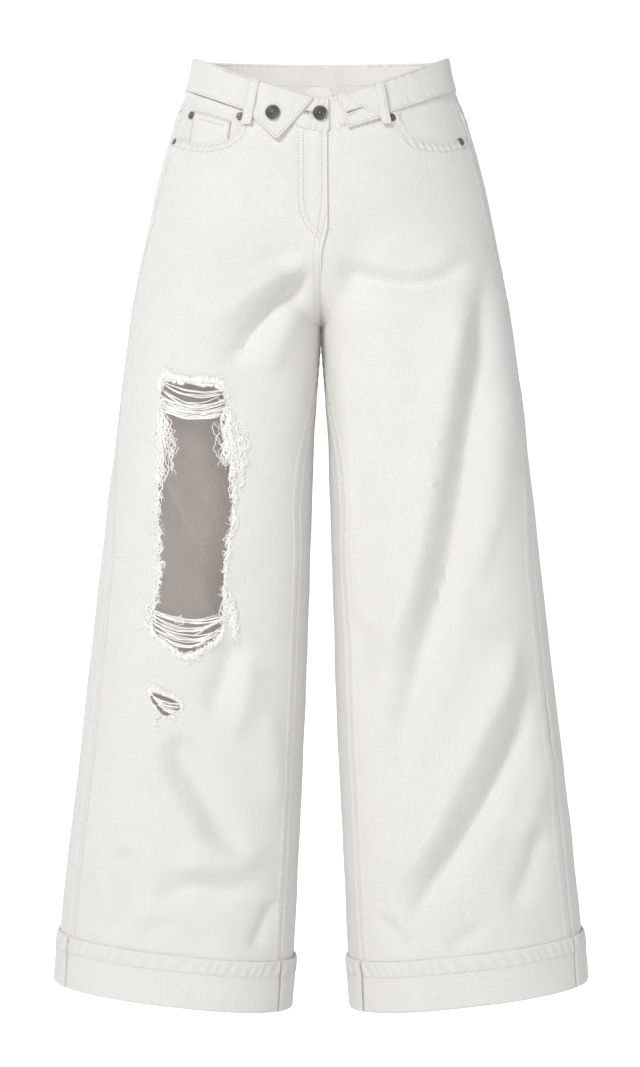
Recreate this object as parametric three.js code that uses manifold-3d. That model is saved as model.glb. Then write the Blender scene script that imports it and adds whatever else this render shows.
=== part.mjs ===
// Ripped jeans: high-rise, wide-leg denim with turned-up hems, open and filled out.
// Millimetres, +Z up, the front faces -Y. The origin is the middle of the waist opening.
// The wearer's right leg, which has the rips, is on the -X side.
//
// Every cloth piece is a wall laid along one shared form. A place on the form is (t, h):
// t runs round one half from the centre front (0) over the side to the centre back (1), and
// h is the height before the waist dips at the front and the hem tilts up at the outside.
import * as THREE from "three";
import { mergeVertices } from "three/addons/utils/BufferGeometryUtils.js";
import Module from "manifold-3d";

const wasm = await Module();
wasm.setup();

// ---- Driving dimensions ----
const CLOTH = 1.2; // denim wall
const GAP = 0.3; // between pieces that are sewn together
const BAND_HALF = 18.5; // half of the waistband's height
const BAND_WALL = 2.4; // two layers of denim
const WAIST_SEAM = -BAND_HALF; // h of the seam under the waistband
const CROTCH = -285; // h where the four panels meet
const HEM = -1025; // h of the folded hem
const CUFF_HEIGHT = 56;
const CUFF_WALL = 2.4;
const SIDE_SEAM = 0.413; // t of the outseam, a little to the front
const INSEAM_SHIFT = 0.083; // how far the inseam comes round to the front, in t
const FRONT_DIP = 48; // the waist's extra drop at the centre front
const WAIST_TILT = 13.5; // front down and back up, each by this
const BACK_DIP = 1.5;
const DIP_ENDS = -270; // h where the panels' rows are level again
const HEM_TILT = 0.117; // rise of the hem towards the outside
const TORSO_ROUNDNESS = 2.3; // superellipse powers
const THIGH_ROUNDNESS = 2.8;
const FLY_WIDTH = 9; // how far the right front laps over the left
const FLY_END = -205; // h where that lap has run out
const FLY_LIFT = 1.7;

// Stations of the outline: [h, size]. Half width, inner edge of a leg, depth in front, depth behind.
const OUTER = [[19, 142], [-17, 150], [-62, 166], [-129, 184], [-218, 202], [-319, 217], [-476, 237],
  [-700, 263], [-868, 281], [-1030, 297]];
const INNER = [[19, 0], [-285, 0], [-319, 2.5], [-420, 8], [-700, 17], [-868, 25], [-1030, 34]];
const FRONT = [[19, 88], [-19, 92], [-110, 104], [-240, 100], [-319, 95], [-600, 86], [-1030, 88]];
const BACK = [[19, 86], [-19, 94], [-110, 118], [-190, 126], [-280, 112], [-420, 98], [-700, 88], [-1030, 90]];

// One grid of rows and columns is shared by everything on a half, so that what lies on a panel
// follows its facets. Rows are closer where the crotch curves.
const BAND_ROWS = [BAND_HALF, 6, -6, WAIST_SEAM];
const YOKE_SEAM = -41; // h of the yoke seam at the side
const YOKE_DROP = 45; // how much lower it is at the centre back
const YOKE_LEVEL = -240; // h where the back's rows are level again
const CUFF_TOP = HEM + CUFF_HEIGHT;
const PANEL_ROWS = [WAIST_SEAM, -30, YOKE_SEAM, -60, -84, -112, -145, -180, -212, -240, -262, -275, -282,
  CROTCH, -300, -325, -360, -405, -455, -510, -565, -620, -675, -725, -770, -810, -845, -878, -910, -940,
  CUFF_TOP, HEM + 27, HEM + 2.7];
const FRONT_COLUMNS = 10;
const BACK_COLUMNS = 11;
const EDGE_COLUMNS = [3, 15]; // the first two columns lie this far from the centre seam or inseam

// The largest folds: a line on the cloth as [x, z] points, its half width, and its height.
// Negative x is the ripped leg. A positive height is a ridge, a negative one a trough.
const FRONT_FOLDS = [
  { line: [[-9, -214], [-66, -245], [-125, -296]], width: 17, height: 6 },
  { line: [[-11, -230], [-55, -276], [-101, -342]], width: 14, height: -6 },
  { line: [[-93, -622], [-122, -711]], width: 16, height: -5 },
  { line: [[-164, -722], [-135, -786], [-106, -837], [-76, -870]], width: 18, height: -6 },
  { line: [[-148, -872], [-108, -872], [-68, -866]], width: 15, height: 6 },
  { line: [[-168, -913], [-148, -895], [-114, -900], [-64, -894]], width: 12, height: -5 },
  { line: [[13, -221], [51, -239], [114, -243], [157, -218]], width: 14, height: -4 },
  { line: [[157, -239], [135, -365], [114, -491], [90, -596], [55, -664]], width: 24, height: 8 },
  { line: [[180, -225], [176, -323], [163, -449], [142, -576], [108, -670], [90, -786], [62, -828]],
    width: 24, height: -8 },
  { line: [[215, -618], [186, -702], [144, -786], [110, -853], [72, -913]], width: 20, height: 7 },
  { line: [[224, -680], [214, -744], [188, -799], [151, -853], [109, -913], [97, -942]], width: 18, height: -7 },
];
const BACK_FOLDS = [
  { line: [[-12, -262], [-70, -296], [-140, -318]], width: 18, height: -6 },
  { line: [[12, -258], [66, -290], [132, -330]], width: 18, height: -6 },
  { line: [[-190, -420], [-150, -560], [-80, -660]], width: 26, height: -7 },
  { line: [[196, -470], [150, -600], [84, -700]], width: 26, height: -7 },
  { line: [[-225, -720], [-170, -830], [-90, -915]], width: 22, height: 7 },
  { line: [[215, -760], [165, -860], [100, -930]], width: 22, height: 7 },
];

// Outlines cut from the fronts, as [x, z] on the wearer's right.
const SCOOP = [[-84, -45], [-86, -60], [-91, -76], [-100, -85], [-113, -89], [-130, -89.5], [-147, -84.5],
  [-160, -78]];
const KNEE_RIP = [[-173, -348], [-155, -349], [-133, -351], [-107, -356], [-101, -390], [-96, -448], [-96, -497],
  [-104, -543], [-106, -590], [-107, -617], [-116, -629], [-136, -641], [-151, -643], [-170, -630],
  [-183, -617], [-182, -600], [-175, -560], [-176, -500], [-174, -440], [-171, -390]];
const SMALL_RIP = [[-187, -686], [-170, -689], [-156, -695], [-152, -700], [-160, -708], [-172, -709]];

// ---- Materials ----
const denim = new THREE.MeshStandardMaterial({ color: 0xe9e7e2, roughness: 0.92, metalness: 0 });
const hardware = new THREE.MeshStandardMaterial({ color: 0x77716b, roughness: 0.42, metalness: 0.9 });

// ---- Small helpers ----
const mix = (a, b, w) => a + (b - a) * w;
const clamp = (x, low, high) => Math.min(Math.max(x, low), high);
const powered = (x, power) => Math.sign(x) * Math.abs(x) ** power;

// 0 at a, 1 at b, with level ends.
function smooth(a, b, x) {
  const u = clamp((x - a) / (b - a), 0, 1);
  return u * u * (3 - 2 * u);
}

// A smooth curve through stations [h, size], which run downwards.
function curveThrough(stations) {
  const slope = stations.map((_, i) => {
    const before = stations[Math.max(i - 1, 0)];
    const after = stations[Math.min(i + 1, stations.length - 1)];
    return (after[1] - before[1]) / (after[0] - before[0]);
  });
  return (h) => {
    let i = 0;
    while (i < stations.length - 2 && h < stations[i + 1][0]) i += 1;
    const [h0, v0] = stations[i];
    const [h1, v1] = stations[i + 1];
    const step = h1 - h0;
    const u = clamp((h - h0) / step, 0, 1);
    const level = mix(v0, v1, u * u * (3 - 2 * u));
    return level + step * u * (1 - u) * ((1 - u) * slope[i] - u * slope[i + 1]);
  };
}

// ---- The form ----
const outer = curveThrough(OUTER);
const inner = curveThrough(INNER);
const front = curveThrough(FRONT);
const back = curveThrough(BACK);

// How far the cloth at t has turned from the torso's tube into a leg's, 0 to 1. The centre seam
// follows a quarter ellipse down to the crotch.
function legShare(t, h) {
  const seamTop = t < 0.5 ? -185 : -120;
  const run = clamp((h - seamTop) / (CROTCH - seamTop), 0, 1);
  const atSeam = 1 - Math.sqrt(1 - run * run);
  const across = smooth(-120, -300, h);
  const fromSeam = t < 0.5 ? t : 1 - t;
  return h <= CROTCH ? mix(1, across, smooth(0, 0.12, fromSeam)) : mix(atSeam, across, smooth(0, 0.12, fromSeam));
}

// The unfolded form of the +X half.
function form(t, h) {
  const wide = outer(h);
  const inside = inner(h);
  const turn = Math.PI * t;
  const torsoPower = 2 / TORSO_ROUNDNESS;
  const torsoX = wide * powered(Math.sin(turn), torsoPower);
  const torsoY = -(Math.cos(turn) > 0 ? front(h) : back(h)) * powered(Math.cos(turn), torsoPower);

  const crowding = 0.6 * smooth(-560, -320, h); // more cloth on the inner thigh
  const angle = 2 * Math.PI * t + crowding * Math.sin(2 * Math.PI * t);
  const legPower = 2 / mix(THIGH_ROUNDNESS, TORSO_ROUNDNESS, smooth(-320, -700, h));
  const middle = (wide + inside) / 2;
  const legX = middle - (wide - inside) / 2 * powered(Math.cos(angle), legPower);
  const legY = -(Math.sin(angle) > 0 ? front(h) : back(h)) * powered(Math.sin(angle), legPower);

  const share = h < -310 ? 1 : legShare(t, h);
  const x = mix(torsoX, legX, share) + GAP / 2;
  const y = mix(torsoY, legY, share);
  const facing = Math.cos(turn);
  const fromSide = 1 - Math.abs(Math.sin(turn));
  const dip = -WAIST_TILT * facing - (facing > 0 ? FRONT_DIP : BACK_DIP) * fromSide;
  const tilt = HEM_TILT * (x - middle) * smooth(-720, -960, h);
  return new THREE.Vector3(x, y, h + dip * smooth(DIP_ENDS, WAIST_SEAM, h) + tilt);
}

// The form's outward direction at (t, h).
function outward(t, h) {
  const step = 0.002;
  const closedTube = h < CROTCH || t < 0;
  const before = closedTube ? t - step : Math.max(t - step, 0);
  const after = closedTube ? t + step : Math.min(t + step, 1);
  const round = form(after, h).sub(form(before, h));
  const down = form(t, h - 1).sub(form(t, h + 1));
  return down.cross(round).normalize();
}

// Height of the folds at a place on the cloth.
function foldHeight(x, z, folds) {
  let height = 0;
  for (const fold of folds) {
    let nearest = Infinity;
    let along = 0;
    const spans = fold.line.length - 1;
    for (let i = 0; i < spans; i += 1) {
      const [ax, az] = fold.line[i];
      const [bx, bz] = fold.line[i + 1];
      const length2 = (bx - ax) ** 2 + (bz - az) ** 2;
      const u = clamp(((x - ax) * (bx - ax) + (z - az) * (bz - az)) / length2, 0, 1);
      const distance = Math.hypot(x - mix(ax, bx, u), z - mix(az, bz, u));
      if (distance < nearest) {
        nearest = distance;
        along = (i + u) / spans;
      }
    }
    const ends = smooth(0, 0.2, along) * smooth(1, 0.8, along);
    height += fold.height * ends * Math.exp(-((nearest / fold.width) ** 2));
  }
  return height;
}

// A point on the garment: side is -1 for the wearer's right, lift is out from the form.
function clothPoint(side, t, h, lift = 0) {
  const point = form(t, h);
  const normal = outward(t, h);
  const folds = point.y < 0 ? FRONT_FOLDS : BACK_FOLDS;
  const calm = smooth(0, 14, point.x - inner(h)) * smooth(0, 40, Math.abs(point.y));
  const fold = h < WAIST_SEAM ? calm * foldHeight(side * point.x, point.z, folds) : 0;
  point.addScaledVector(normal, fold + lift);
  if (t >= 0 && h < WAIST_SEAM) point.x = Math.max(point.x, GAP / 2);
  point.x *= side;
  return point;
}

// The (t, h) of a place given as [x, z] with x > 0, on the front or the back.
function placeAt(x, z, behind = false) {
  let h = z;
  let t = 0.25;
  for (let round = 0; round < 14; round += 1) {
    let low = behind ? 0.5 : -0.1;
    let high = behind ? 1.1 : 0.5;
    for (let halving = 0; halving < 22; halving += 1) {
      t = (low + high) / 2;
      const tooFar = form(t, h).x > x;
      if (tooFar !== behind) high = t;
      else low = t;
    }
    h += z - form(t, h).z;
  }
  return [t, h];
}

// t moved along the form by so many millimetres.
function nudged(t, h, distance) {
  const step = 0.001;
  return t + (distance * step) / form(t + step, h).distanceTo(form(t, h));
}

// ---- Making meshes ----
function geometryOf(points, faces) {
  const volume = faces.reduce((sum, [a, b, c]) => (
    sum + points[a].dot(new THREE.Vector3().crossVectors(points[b], points[c]))), 0);
  const turned = volume < 0 ? faces.map(([a, b, c]) => [a, c, b]) : faces;
  const geometry = new THREE.BufferGeometry();
  geometry.setAttribute("position", new THREE.Float32BufferAttribute(points.flatMap((p) => p.toArray()), 3));
  geometry.setIndex(turned.flat());
  return geometry;
}

// A closed wall between two equal grids of points, [column][row]. Rings join their last column
// to their first.
function wall(outside, inside, ring = false) {
  const columns = outside.length;
  const rows = outside[0].length;
  const points = [...outside.flat(), ...inside.flat()];
  const out = (c, r) => (c % columns) * rows + r;
  const into = (c, r) => columns * rows + out(c, r);
  const faces = [];
  const quad = (a, b, c, d) => faces.push([a, b, c], [a, c, d]);
  const spans = ring ? columns : columns - 1;
  for (let c = 0; c < spans; c += 1) {
    for (let r = 0; r < rows - 1; r += 1) {
      quad(out(c, r), out(c, r + 1), out(c + 1, r + 1), out(c + 1, r));
      quad(into(c, r), into(c + 1, r), into(c + 1, r + 1), into(c, r + 1));
    }
    quad(out(c, 0), out(c + 1, 0), into(c + 1, 0), into(c, 0));
    quad(out(c, rows - 1), into(c, rows - 1), into(c + 1, rows - 1), out(c + 1, rows - 1));
  }
  if (!ring) {
    for (let r = 0; r < rows - 1; r += 1) {
      quad(out(0, r), into(0, r), into(0, r + 1), out(0, r + 1));
      quad(out(columns - 1, r), out(columns - 1, r + 1), into(columns - 1, r + 1), into(columns - 1, r));
    }
  }
  return geometryOf(points, faces);
}

// ---- The grid of a half ----
const inseamAt = (h) => INSEAM_SHIFT * smooth(CROTCH, -500, h);
const SIDE_COLUMN = FRONT_COLUMNS;
const LAST_COLUMN = FRONT_COLUMNS + BACK_COLUMNS;

// The t of a column: 0 is the centre front or inseam, SIDE_COLUMN the outseam, LAST_COLUMN the
// centre back or inseam again. Columns below 0 mirror the first ones over the centre front.
function columnAt(column, h) {
  if (column < 0) return -columnAt(-column, h);
  if (column > SIDE_COLUMN) return mix(SIDE_SEAM, 1 + inseamAt(h), (column - SIDE_COLUMN) / BACK_COLUMNS);
  const seam = inseamAt(h);
  if (column === 0) return seam;
  if (column <= EDGE_COLUMNS.length) return nudged(seam, h, EDGE_COLUMNS[column - 1]);
  const last = columnAt(EDGE_COLUMNS.length, h);
  return mix(last, SIDE_SEAM, (column - EDGE_COLUMNS.length) / (SIDE_COLUMN - EDGE_COLUMNS.length));
}

// The yoke seam drops from the side to the centre back, and the back's rows follow it.
function yokeDrop(t, level) {
  const across = clamp((t - SIDE_SEAM) / (1 - SIDE_SEAM), 0, 1);
  const share = level > YOKE_SEAM
    ? clamp((WAIST_SEAM - level) / (WAIST_SEAM - YOKE_SEAM), 0, 1)
    : smooth(YOKE_LEVEL, YOKE_SEAM, level);
  return YOKE_DROP * across * share;
}

// A wall over part of the grid: columns from first to last and the listed rows. options.lift is
// how far its face is out from the form, options.edges(column, h, t) may move a column's t.
function gridWall(side, first, last, rows, options = {}) {
  const { lift = 0, thickness = CLOTH, edges, trimRows = 0 } = options;
  const grid = (extra) => Array.from({ length: last - first + 1 }, (_, c) => (
    rows.map((level, r) => {
      const column = first + c;
      const plain = columnAt(column, level);
      const t = edges ? edges(column, level, plain) : plain;
      const trim = r === 0 ? -trimRows : r === rows.length - 1 ? trimRows : 0;
      const h = level + trim - yokeDrop(t, level);
      const out = typeof lift === "function" ? lift(t, h) : lift;
      return clothPoint(side, t, h, out + extra);
    })));
  return wall(grid(0), grid(-thickness));
}

function solidFrom(geometry) {
  const bare = geometry.clone();
  bare.deleteAttribute("normal");
  bare.deleteAttribute("uv");
  const merged = mergeVertices(bare, 1e-3);
  return new wasm.Manifold(new wasm.Mesh({
    numProp: 3,
    vertProperties: merged.attributes.position.array,
    triVerts: new Uint32Array(merged.index.array),
  }));
}

function geometryFrom(solid) {
  const mesh = solid.getMesh();
  const geometry = new THREE.BufferGeometry();
  geometry.setAttribute("position", new THREE.Float32BufferAttribute(mesh.vertProperties, 3));
  geometry.setIndex(Array.from(mesh.triVerts));
  return geometry;
}

// A prism over an [x, z] outline, from y = near to y = far.
function prism(outline, near, far) {
  const shape = new THREE.Shape(outline.map(([x, z]) => new THREE.Vector2(x, z)));
  const made = new THREE.ExtrudeGeometry(shape, { depth: far - near, bevelEnabled: false });
  made.rotateX(Math.PI / 2).translate(0, far, 0);
  return solidFrom(made);
}

const IN_FRONT = [-160, -6]; // y of everything on the front
const BEHIND = [10, 160];

function cutThrough(geometry, outline) {
  return geometryFrom(solidFrom(geometry).subtract(prism(outline, ...IN_FRONT)));
}

function trimTo(geometry, outline, reach = IN_FRONT) {
  return geometryFrom(solidFrom(geometry).intersect(prism(outline, ...reach)));
}

// An outline as given for one side, or flipped over to the other when side > 0.
const mirrored = (outline, side) => (side < 0 ? outline : outline.map(([x, z]) => [-x, z]).reverse());
const sideName = (side) => (side < 0 ? "right" : "left");

const jeans = new THREE.Group();
jeans.name = "ripped_jeans";

function add(name, geometry, material = denim) {
  const mesh = new THREE.Mesh(geometry, material);
  mesh.name = name;
  jeans.add(mesh);
  return mesh;
}

// ---- Leg panels ----
// The right front laps over the left along the fly, on a slightly raised edge.
function frontPanel(side) {
  const edges = (column, h, t) => {
    if (column === SIDE_COLUMN) return nudged(t, h, -GAP / 2);
    if (column > 0) return t;
    if (side < 0 && h > FLY_END) return nudged(0, h, -FLY_WIDTH * smooth(FLY_END, -150, h));
    return h > CROTCH ? t : nudged(t, h, GAP / 2);
  };
  const lift = (t, h) => (side < 0 ? FLY_LIFT * smooth(14, 4, form(t, h).x) * smooth(-245, FLY_END, h) : 0);
  let panel = gridWall(side, 0, SIDE_COLUMN, PANEL_ROWS, { edges, lift, trimRows: GAP / 2 });
  const beyondSide = [[-200, -70], [-200, 30], [-84, 30]];
  panel = cutThrough(panel, mirrored([...SCOOP, ...beyondSide], side));
  return side < 0 ? cutThrough(cutThrough(panel, KNEE_RIP), SMALL_RIP) : panel;
}

function backEdges(column, h, t) {
  if (column === SIDE_COLUMN) return nudged(t, h, GAP / 2);
  return column === LAST_COLUMN && h <= CROTCH ? nudged(t, h, -GAP / 2) : t;
}

function backPanel(side) {
  const rows = PANEL_ROWS.filter((level) => level <= YOKE_SEAM);
  return gridWall(side, SIDE_COLUMN, LAST_COLUMN, rows, { edges: backEdges, trimRows: GAP / 2 });
}

function yoke(side) {
  const rows = PANEL_ROWS.filter((level) => level >= YOKE_SEAM);
  return gridWall(side, SIDE_COLUMN, LAST_COLUMN, rows, { edges: backEdges, trimRows: GAP / 2 });
}

// ---- Waistband ----
const BAND_LIFT = 1.2; // the band's face, out from the panels'
const UNDERLAP = 14; // how far the left band runs on behind the right

// A keyhole slot for the button at the centre front, [x, z].
const BUTTONHOLE = [[-17.5, -59.5], [-16, -56.8], [-13, -56.8], [-11, -57.3], [1.6, -57.3], [1.6, -61.7],
  [-11, -61.7], [-13, -62.2], [-16, -62.2]];

// The right band laps over the left one, which steps back to pass behind it.
function waistband(side) {
  const start = side < 0 ? FLY_WIDTH : UNDERLAP;
  const edges = (column, h, t) => (column === 0 ? nudged(0, h, -start) : t);
  const lift = (t, h) => BAND_LIFT - (side > 0 ? (BAND_WALL + GAP) * smooth(30, 14, form(t, h).x) : 0);
  const band = gridWall(side, 0, LAST_COLUMN, BAND_ROWS, { edges, lift, thickness: BAND_WALL, trimRows: 0 });
  return side < 0 ? cutThrough(band, BUTTONHOLE) : band;
}

// ---- Turned-up hems: a fold under the leg's edge and a wall up outside it ----
function turnup(side) {
  const face = GAP + CUFF_WALL;
  const rise = [CUFF_TOP, HEM + 27, HEM];
  const lipTop = HEM + 2.4;
  const outside = [];
  const inside = [];
  for (let column = 0; column < LAST_COLUMN; column += 1) {
    const at = (h, lift) => clothPoint(side, columnAt(column, h), h, lift);
    outside.push([...rise.map((h) => at(h, face)), at(HEM, -CLOTH)]);
    inside.push([at(rise[0], GAP), at(rise[1], GAP), at(lipTop, GAP), at(lipTop, -CLOTH)]);
  }
  return wall(outside, inside, true);
}

// ---- Pieces laid on or under the panels, cut from the grid by an [x, z] outline for x > 0 ----
const FACING_LIFT = -2.8;
const COIN_LIFT = -1.5;
const INNER_WALL = 1;
const POCKET_ROWS = PANEL_ROWS.filter((level) => level >= -112);
const WAIST_ROWS = [...BAND_ROWS, ...POCKET_ROWS.slice(1)];

// The hip facing shows in the scoop of the pocket and ends under the front panel.
function hipFacing(side) {
  const edges = (column, h, t) => (column === SIDE_COLUMN ? nudged(t, h, -GAP / 2) : t);
  return gridWall(side, 4, SIDE_COLUMN, POCKET_ROWS.slice(0, -1),
    { edges, lift: FACING_LIFT, thickness: INNER_WALL, trimRows: GAP / 2 });
}

const COIN_POCKET = [[98.5, -65], [141, -48], [146, -84], [143, -97], [103, -97]];

function coinPocket() {
  const whole = gridWall(-1, 4, SIDE_COLUMN, POCKET_ROWS, { lift: COIN_LIFT, thickness: INNER_WALL });
  return trimTo(whole, mirrored(COIN_POCKET, 1));
}

// The fly shield is sewn behind the left front, and its rounded top shows above the band.
const FLY_SHIELD = [[-16, -36], [-12.5, -30], [-8, -28.5], [6, -29], [11, -32], [13.5, -38], [13.5, -188],
  [-13, -188]];
const SHIELD_WALL = 2;
const SHIELD_LIFT = BAND_LIFT - 2 * (BAND_WALL + GAP) - 0.1;

function flyShield() {
  const rows = [BAND_HALF + 20, ...BAND_ROWS, ...PANEL_ROWS.filter((level) => level < WAIST_SEAM && level > -213)];
  return trimTo(gridWall(1, -3, 3, rows, { lift: SHIELD_LIFT, thickness: SHIELD_WALL }), FLY_SHIELD);
}

// Two ends of a belt that is sewn to the waistband: the right one folds over and down to a point,
// the left one has an empty buttonhole. Both start under the front loops.
const TAB_LIFT = BAND_LIFT + GAP + BAND_WALL;
const TAB_RIGHT = [[8, -43.2], [73, -21], [79, -58], [75, -61.5], [50.5, -87.5], [47.7, -88.8], [45, -87.3]];
const TAB_LEFT = [[17.5, -40.5], [62, -26.5], [70, -62.5], [31.5, -75.4], [29, -75.8], [27.4, -73.6]];
const TAB_SLOT = [[28, -58.8], [48.5, -50.6], [49.4, -52.6], [29, -60.9]];

function tab(side, outline) {
  const whole = gridWall(side, 0, 7, WAIST_ROWS, { lift: TAB_LIFT, thickness: BAND_WALL });
  return trimTo(whole, mirrored(outline, -side));
}

const BACK_POCKET = [[34, -134], [146, -120], [139, -226], [88, -262], [42, -246]];

function backPocket(side) {
  const rows = PANEL_ROWS.filter((level) => level < YOKE_SEAM && level >= CROTCH);
  const whole = gridWall(side, SIDE_COLUMN + 1, LAST_COLUMN - 1, rows, { lift: GAP + CLOTH });
  return trimTo(whole, mirrored(BACK_POCKET, -side), BEHIND);
}

// ---- Belt loops: flat straps over the waistband, sewn down at both ends ----
const LOOP_HALF = 5.2; // half of a strap's width
const LOOP_WALL = 1.4;
const LOOP_ROWS = WAIST_ROWS.filter((level) => level > -62);

// A strap's height over the form: level down to one row, then down to the panel at the next.
const strapLift = (over, levelTo, lowFrom) => (t, h) => mix(GAP + LOOP_WALL + 0.6, over, smooth(lowFrom, levelTo, h));
const FRONT_STRAP = [-30, YOKE_SEAM]; // the front straps clear the belt ends first
const BACK_STRAP = [WAIST_SEAM, -30];

function beltLoop(side, top, bottom, over, behind = false) {
  const outline = [[top[0] - LOOP_HALF, top[1]], [top[0] + LOOP_HALF, top[1]],
    [bottom[0] + LOOP_HALF, bottom[1]], [bottom[0] - LOOP_HALF, bottom[1]]];
  const [first, last] = behind ? [SIDE_COLUMN + 1, LAST_COLUMN] : [1, 8];
  const lift = strapLift(over, ...(behind ? BACK_STRAP : FRONT_STRAP));
  const whole = gridWall(side, first, last, LOOP_ROWS, { lift, thickness: LOOP_WALL });
  return trimTo(whole, mirrored(outline, -side), behind ? BEHIND : IN_FRONT);
}

// The loop on the centre back crosses both halves.
function centreLoop(over) {
  const lift = strapLift(over, ...BACK_STRAP);
  const column = (side, offset, extra) => LOOP_ROWS.filter((level) => level > YOKE_SEAM).map((level) => {
    const t = nudged(1, level, -offset);
    const h = level - yokeDrop(1, level) * 0.25;
    const point = clothPoint(side, t, h, lift(t, h) + extra);
    if (offset === 0) point.x = 0;
    return point;
  });
  const grid = (extra) => [column(-1, LOOP_HALF, extra), column(1, 0, extra), column(1, LOOP_HALF, extra)];
  return wall(grid(0), grid(-LOOP_WALL));
}

// ---- Buttons and rivets: turned metal, standing on the cloth ----
const BUTTON_RADIUS = 8;
const RIVET_RADIUS = 4.2;

// A lathe shape with its axis along +Z, moved to stand on the cloth at [x, z].
function turned(profile, segments, side, x, z, lift) {
  const geometry = new THREE.LatheGeometry(profile.map(([r, up]) => new THREE.Vector2(r, up)), segments);
  geometry.rotateX(Math.PI / 2);
  const [t, h] = placeAt(x, z);
  const foot = clothPoint(side, t, h, lift);
  const normal = clothPoint(side, t, h, lift + 10).sub(foot).normalize();
  const turn = new THREE.Quaternion().setFromUnitVectors(new THREE.Vector3(0, 0, 1), normal);
  geometry.applyQuaternion(turn).translate(foot.x, foot.y, foot.z);
  geometry.deleteAttribute("normal");
  geometry.deleteAttribute("uv");
  return geometryFrom(solidFrom(geometry));
}

function jeansButton(x, z, lift, post) {
  const profile = [[0, -post], [1.8, -post], [1.8, 1.6], [7.4, 1.6], [BUTTON_RADIUS, 2.4], [7.6, 3.6], [6.6, 4.2],
    [5.9, 3.7], [2.6, 3.7], [1.2, 4.4], [0, 4.4]];
  return turned(profile, 16, -1, x, z, lift);
}

function rivet(side, x, z, lift) {
  const profile = [[0, 0], [RIVET_RADIUS, 0], [3.9, 0.9], [2.4, 1.3], [1.4, 1.9], [0, 1.9]];
  return turned(profile, 10, side, x, z, lift);
}

// ---- The garment ----
for (const side of [-1, 1]) {
  const name = sideName(side);
  add(`front_${name}`, frontPanel(side));
  add(`back_${name}`, backPanel(side));
  add(`yoke_${name}`, yoke(side));
  add(`waistband_${name}`, waistband(side));
  add(`facing_${name}`, hipFacing(side));
  add(`back_pocket_${name}`, backPocket(side));
  add(`turnup_${name}`, turnup(side));
}
add("coin_pocket", coinPocket());
add("fly_shield", flyShield());
add("tab_right", tab(-1, TAB_RIGHT));
add("tab_left", cutThrough(tab(1, TAB_LEFT), TAB_SLOT));

const overTab = TAB_LIFT + GAP + LOOP_WALL;
const overBand = BAND_LIFT + GAP + LOOP_WALL;
add("loop_front_right", beltLoop(-1, [71, -21], [80.5, -71.3], overTab));
add("loop_front_left", beltLoop(1, [61.7, -24.5], [70.4, -71.5], overTab));
add("loop_back_right", beltLoop(-1, [84, 25], [86, -28], overBand, true));
add("loop_back_left", beltLoop(1, [84, 25], [86, -28], overBand, true));
add("loop_back_centre", centreLoop(overBand));

add("button_waist", jeansButton(1.1, -59.5, BAND_LIFT + 0.5, 2.6), hardware);
add("button_flap", jeansButton(51.5, -59.2, TAB_LIFT + 0.5, 0), hardware);
const RIVETS = [[-1, 87.7, -60.3, 0.4], [-1, 161.8, -81.5, 0.4], [-1, 143.6, -52.5, COIN_LIFT + 0.4],
  [1, 76.9, -62.5, 0.4], [1, 153.8, -82.9, 0.4]];
RIVETS.forEach(([side, x, z, lift], i) => add(`rivet_${i + 1}`, rivet(side, x, z, lift), hardware));

export default jeans;
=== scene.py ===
"""Ripped jeans: the cloth, stitching, frayed threads and metal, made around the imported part.

Everything is worked out in millimetres on the same form as the part's solids and turned into
metres when a mesh is made. A place on the form is (t, h): t runs round one half from the centre
front (0) over the side to the centre back (1), and h is the height before the waist dips at the
front and the hem tilts up at the outside. side is -1 for the wearer's right, which has the rips.
"""

import math

import bpy
import numpy as np
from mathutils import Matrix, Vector
from mathutils.geometry import delaunay_2d_cdt


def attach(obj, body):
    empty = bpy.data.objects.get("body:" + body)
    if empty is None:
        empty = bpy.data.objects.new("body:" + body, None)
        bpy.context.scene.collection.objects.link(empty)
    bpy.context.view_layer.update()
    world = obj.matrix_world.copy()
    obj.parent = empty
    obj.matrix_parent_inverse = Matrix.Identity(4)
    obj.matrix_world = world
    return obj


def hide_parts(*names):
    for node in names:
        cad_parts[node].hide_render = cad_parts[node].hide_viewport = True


METRES = 0.001
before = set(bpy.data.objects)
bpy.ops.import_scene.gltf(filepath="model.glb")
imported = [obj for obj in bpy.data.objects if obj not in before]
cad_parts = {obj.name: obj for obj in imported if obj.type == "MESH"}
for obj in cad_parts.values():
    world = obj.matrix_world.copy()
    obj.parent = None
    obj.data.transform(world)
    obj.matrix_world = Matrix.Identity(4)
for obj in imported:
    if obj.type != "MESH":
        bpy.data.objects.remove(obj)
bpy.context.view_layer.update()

# ---- Driving dimensions, in millimetres, as in the part ----
CLOTH = 1.2
GAP = 0.3
BAND_HALF = 18.5
BAND_WALL = 2.4
WAIST_SEAM = -BAND_HALF
CROTCH = -285
HEM = -1025
CUFF_HEIGHT = 56
CUFF_TOP = HEM + CUFF_HEIGHT
CUFF_WALL = 2.4
SIDE_SEAM = 0.413
INSEAM_SHIFT = 0.083
FRONT_DIP = 48
WAIST_TILT = 13.5
BACK_DIP = 1.5
DIP_ENDS = -270
HEM_TILT = 0.117
TORSO_ROUNDNESS = 2.3
THIGH_ROUNDNESS = 2.8
FLY_WIDTH = 9
FLY_END = -205
FLY_LIFT = 1.7
LAP_END = -245
YOKE_SEAM = -41
YOKE_DROP = 45
YOKE_LEVEL = -240
BAND_LIFT = 1.2
UNDERLAP = 14
TAB_LIFT = BAND_LIFT + GAP + BAND_WALL
COIN_LIFT = -1.3
facing_levels = {-1: COIN_LIFT - 1.5, 1: -1.5}  # the coin pocket lies between facing and front
INNER_WALL = 1
SHIELD_WALL = 2
SHIELD_LIFT = BAND_LIFT - 2 * (BAND_WALL + GAP) - 0.1
LOOP_HALF = 5.2
LOOP_WALL = 1.4
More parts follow.
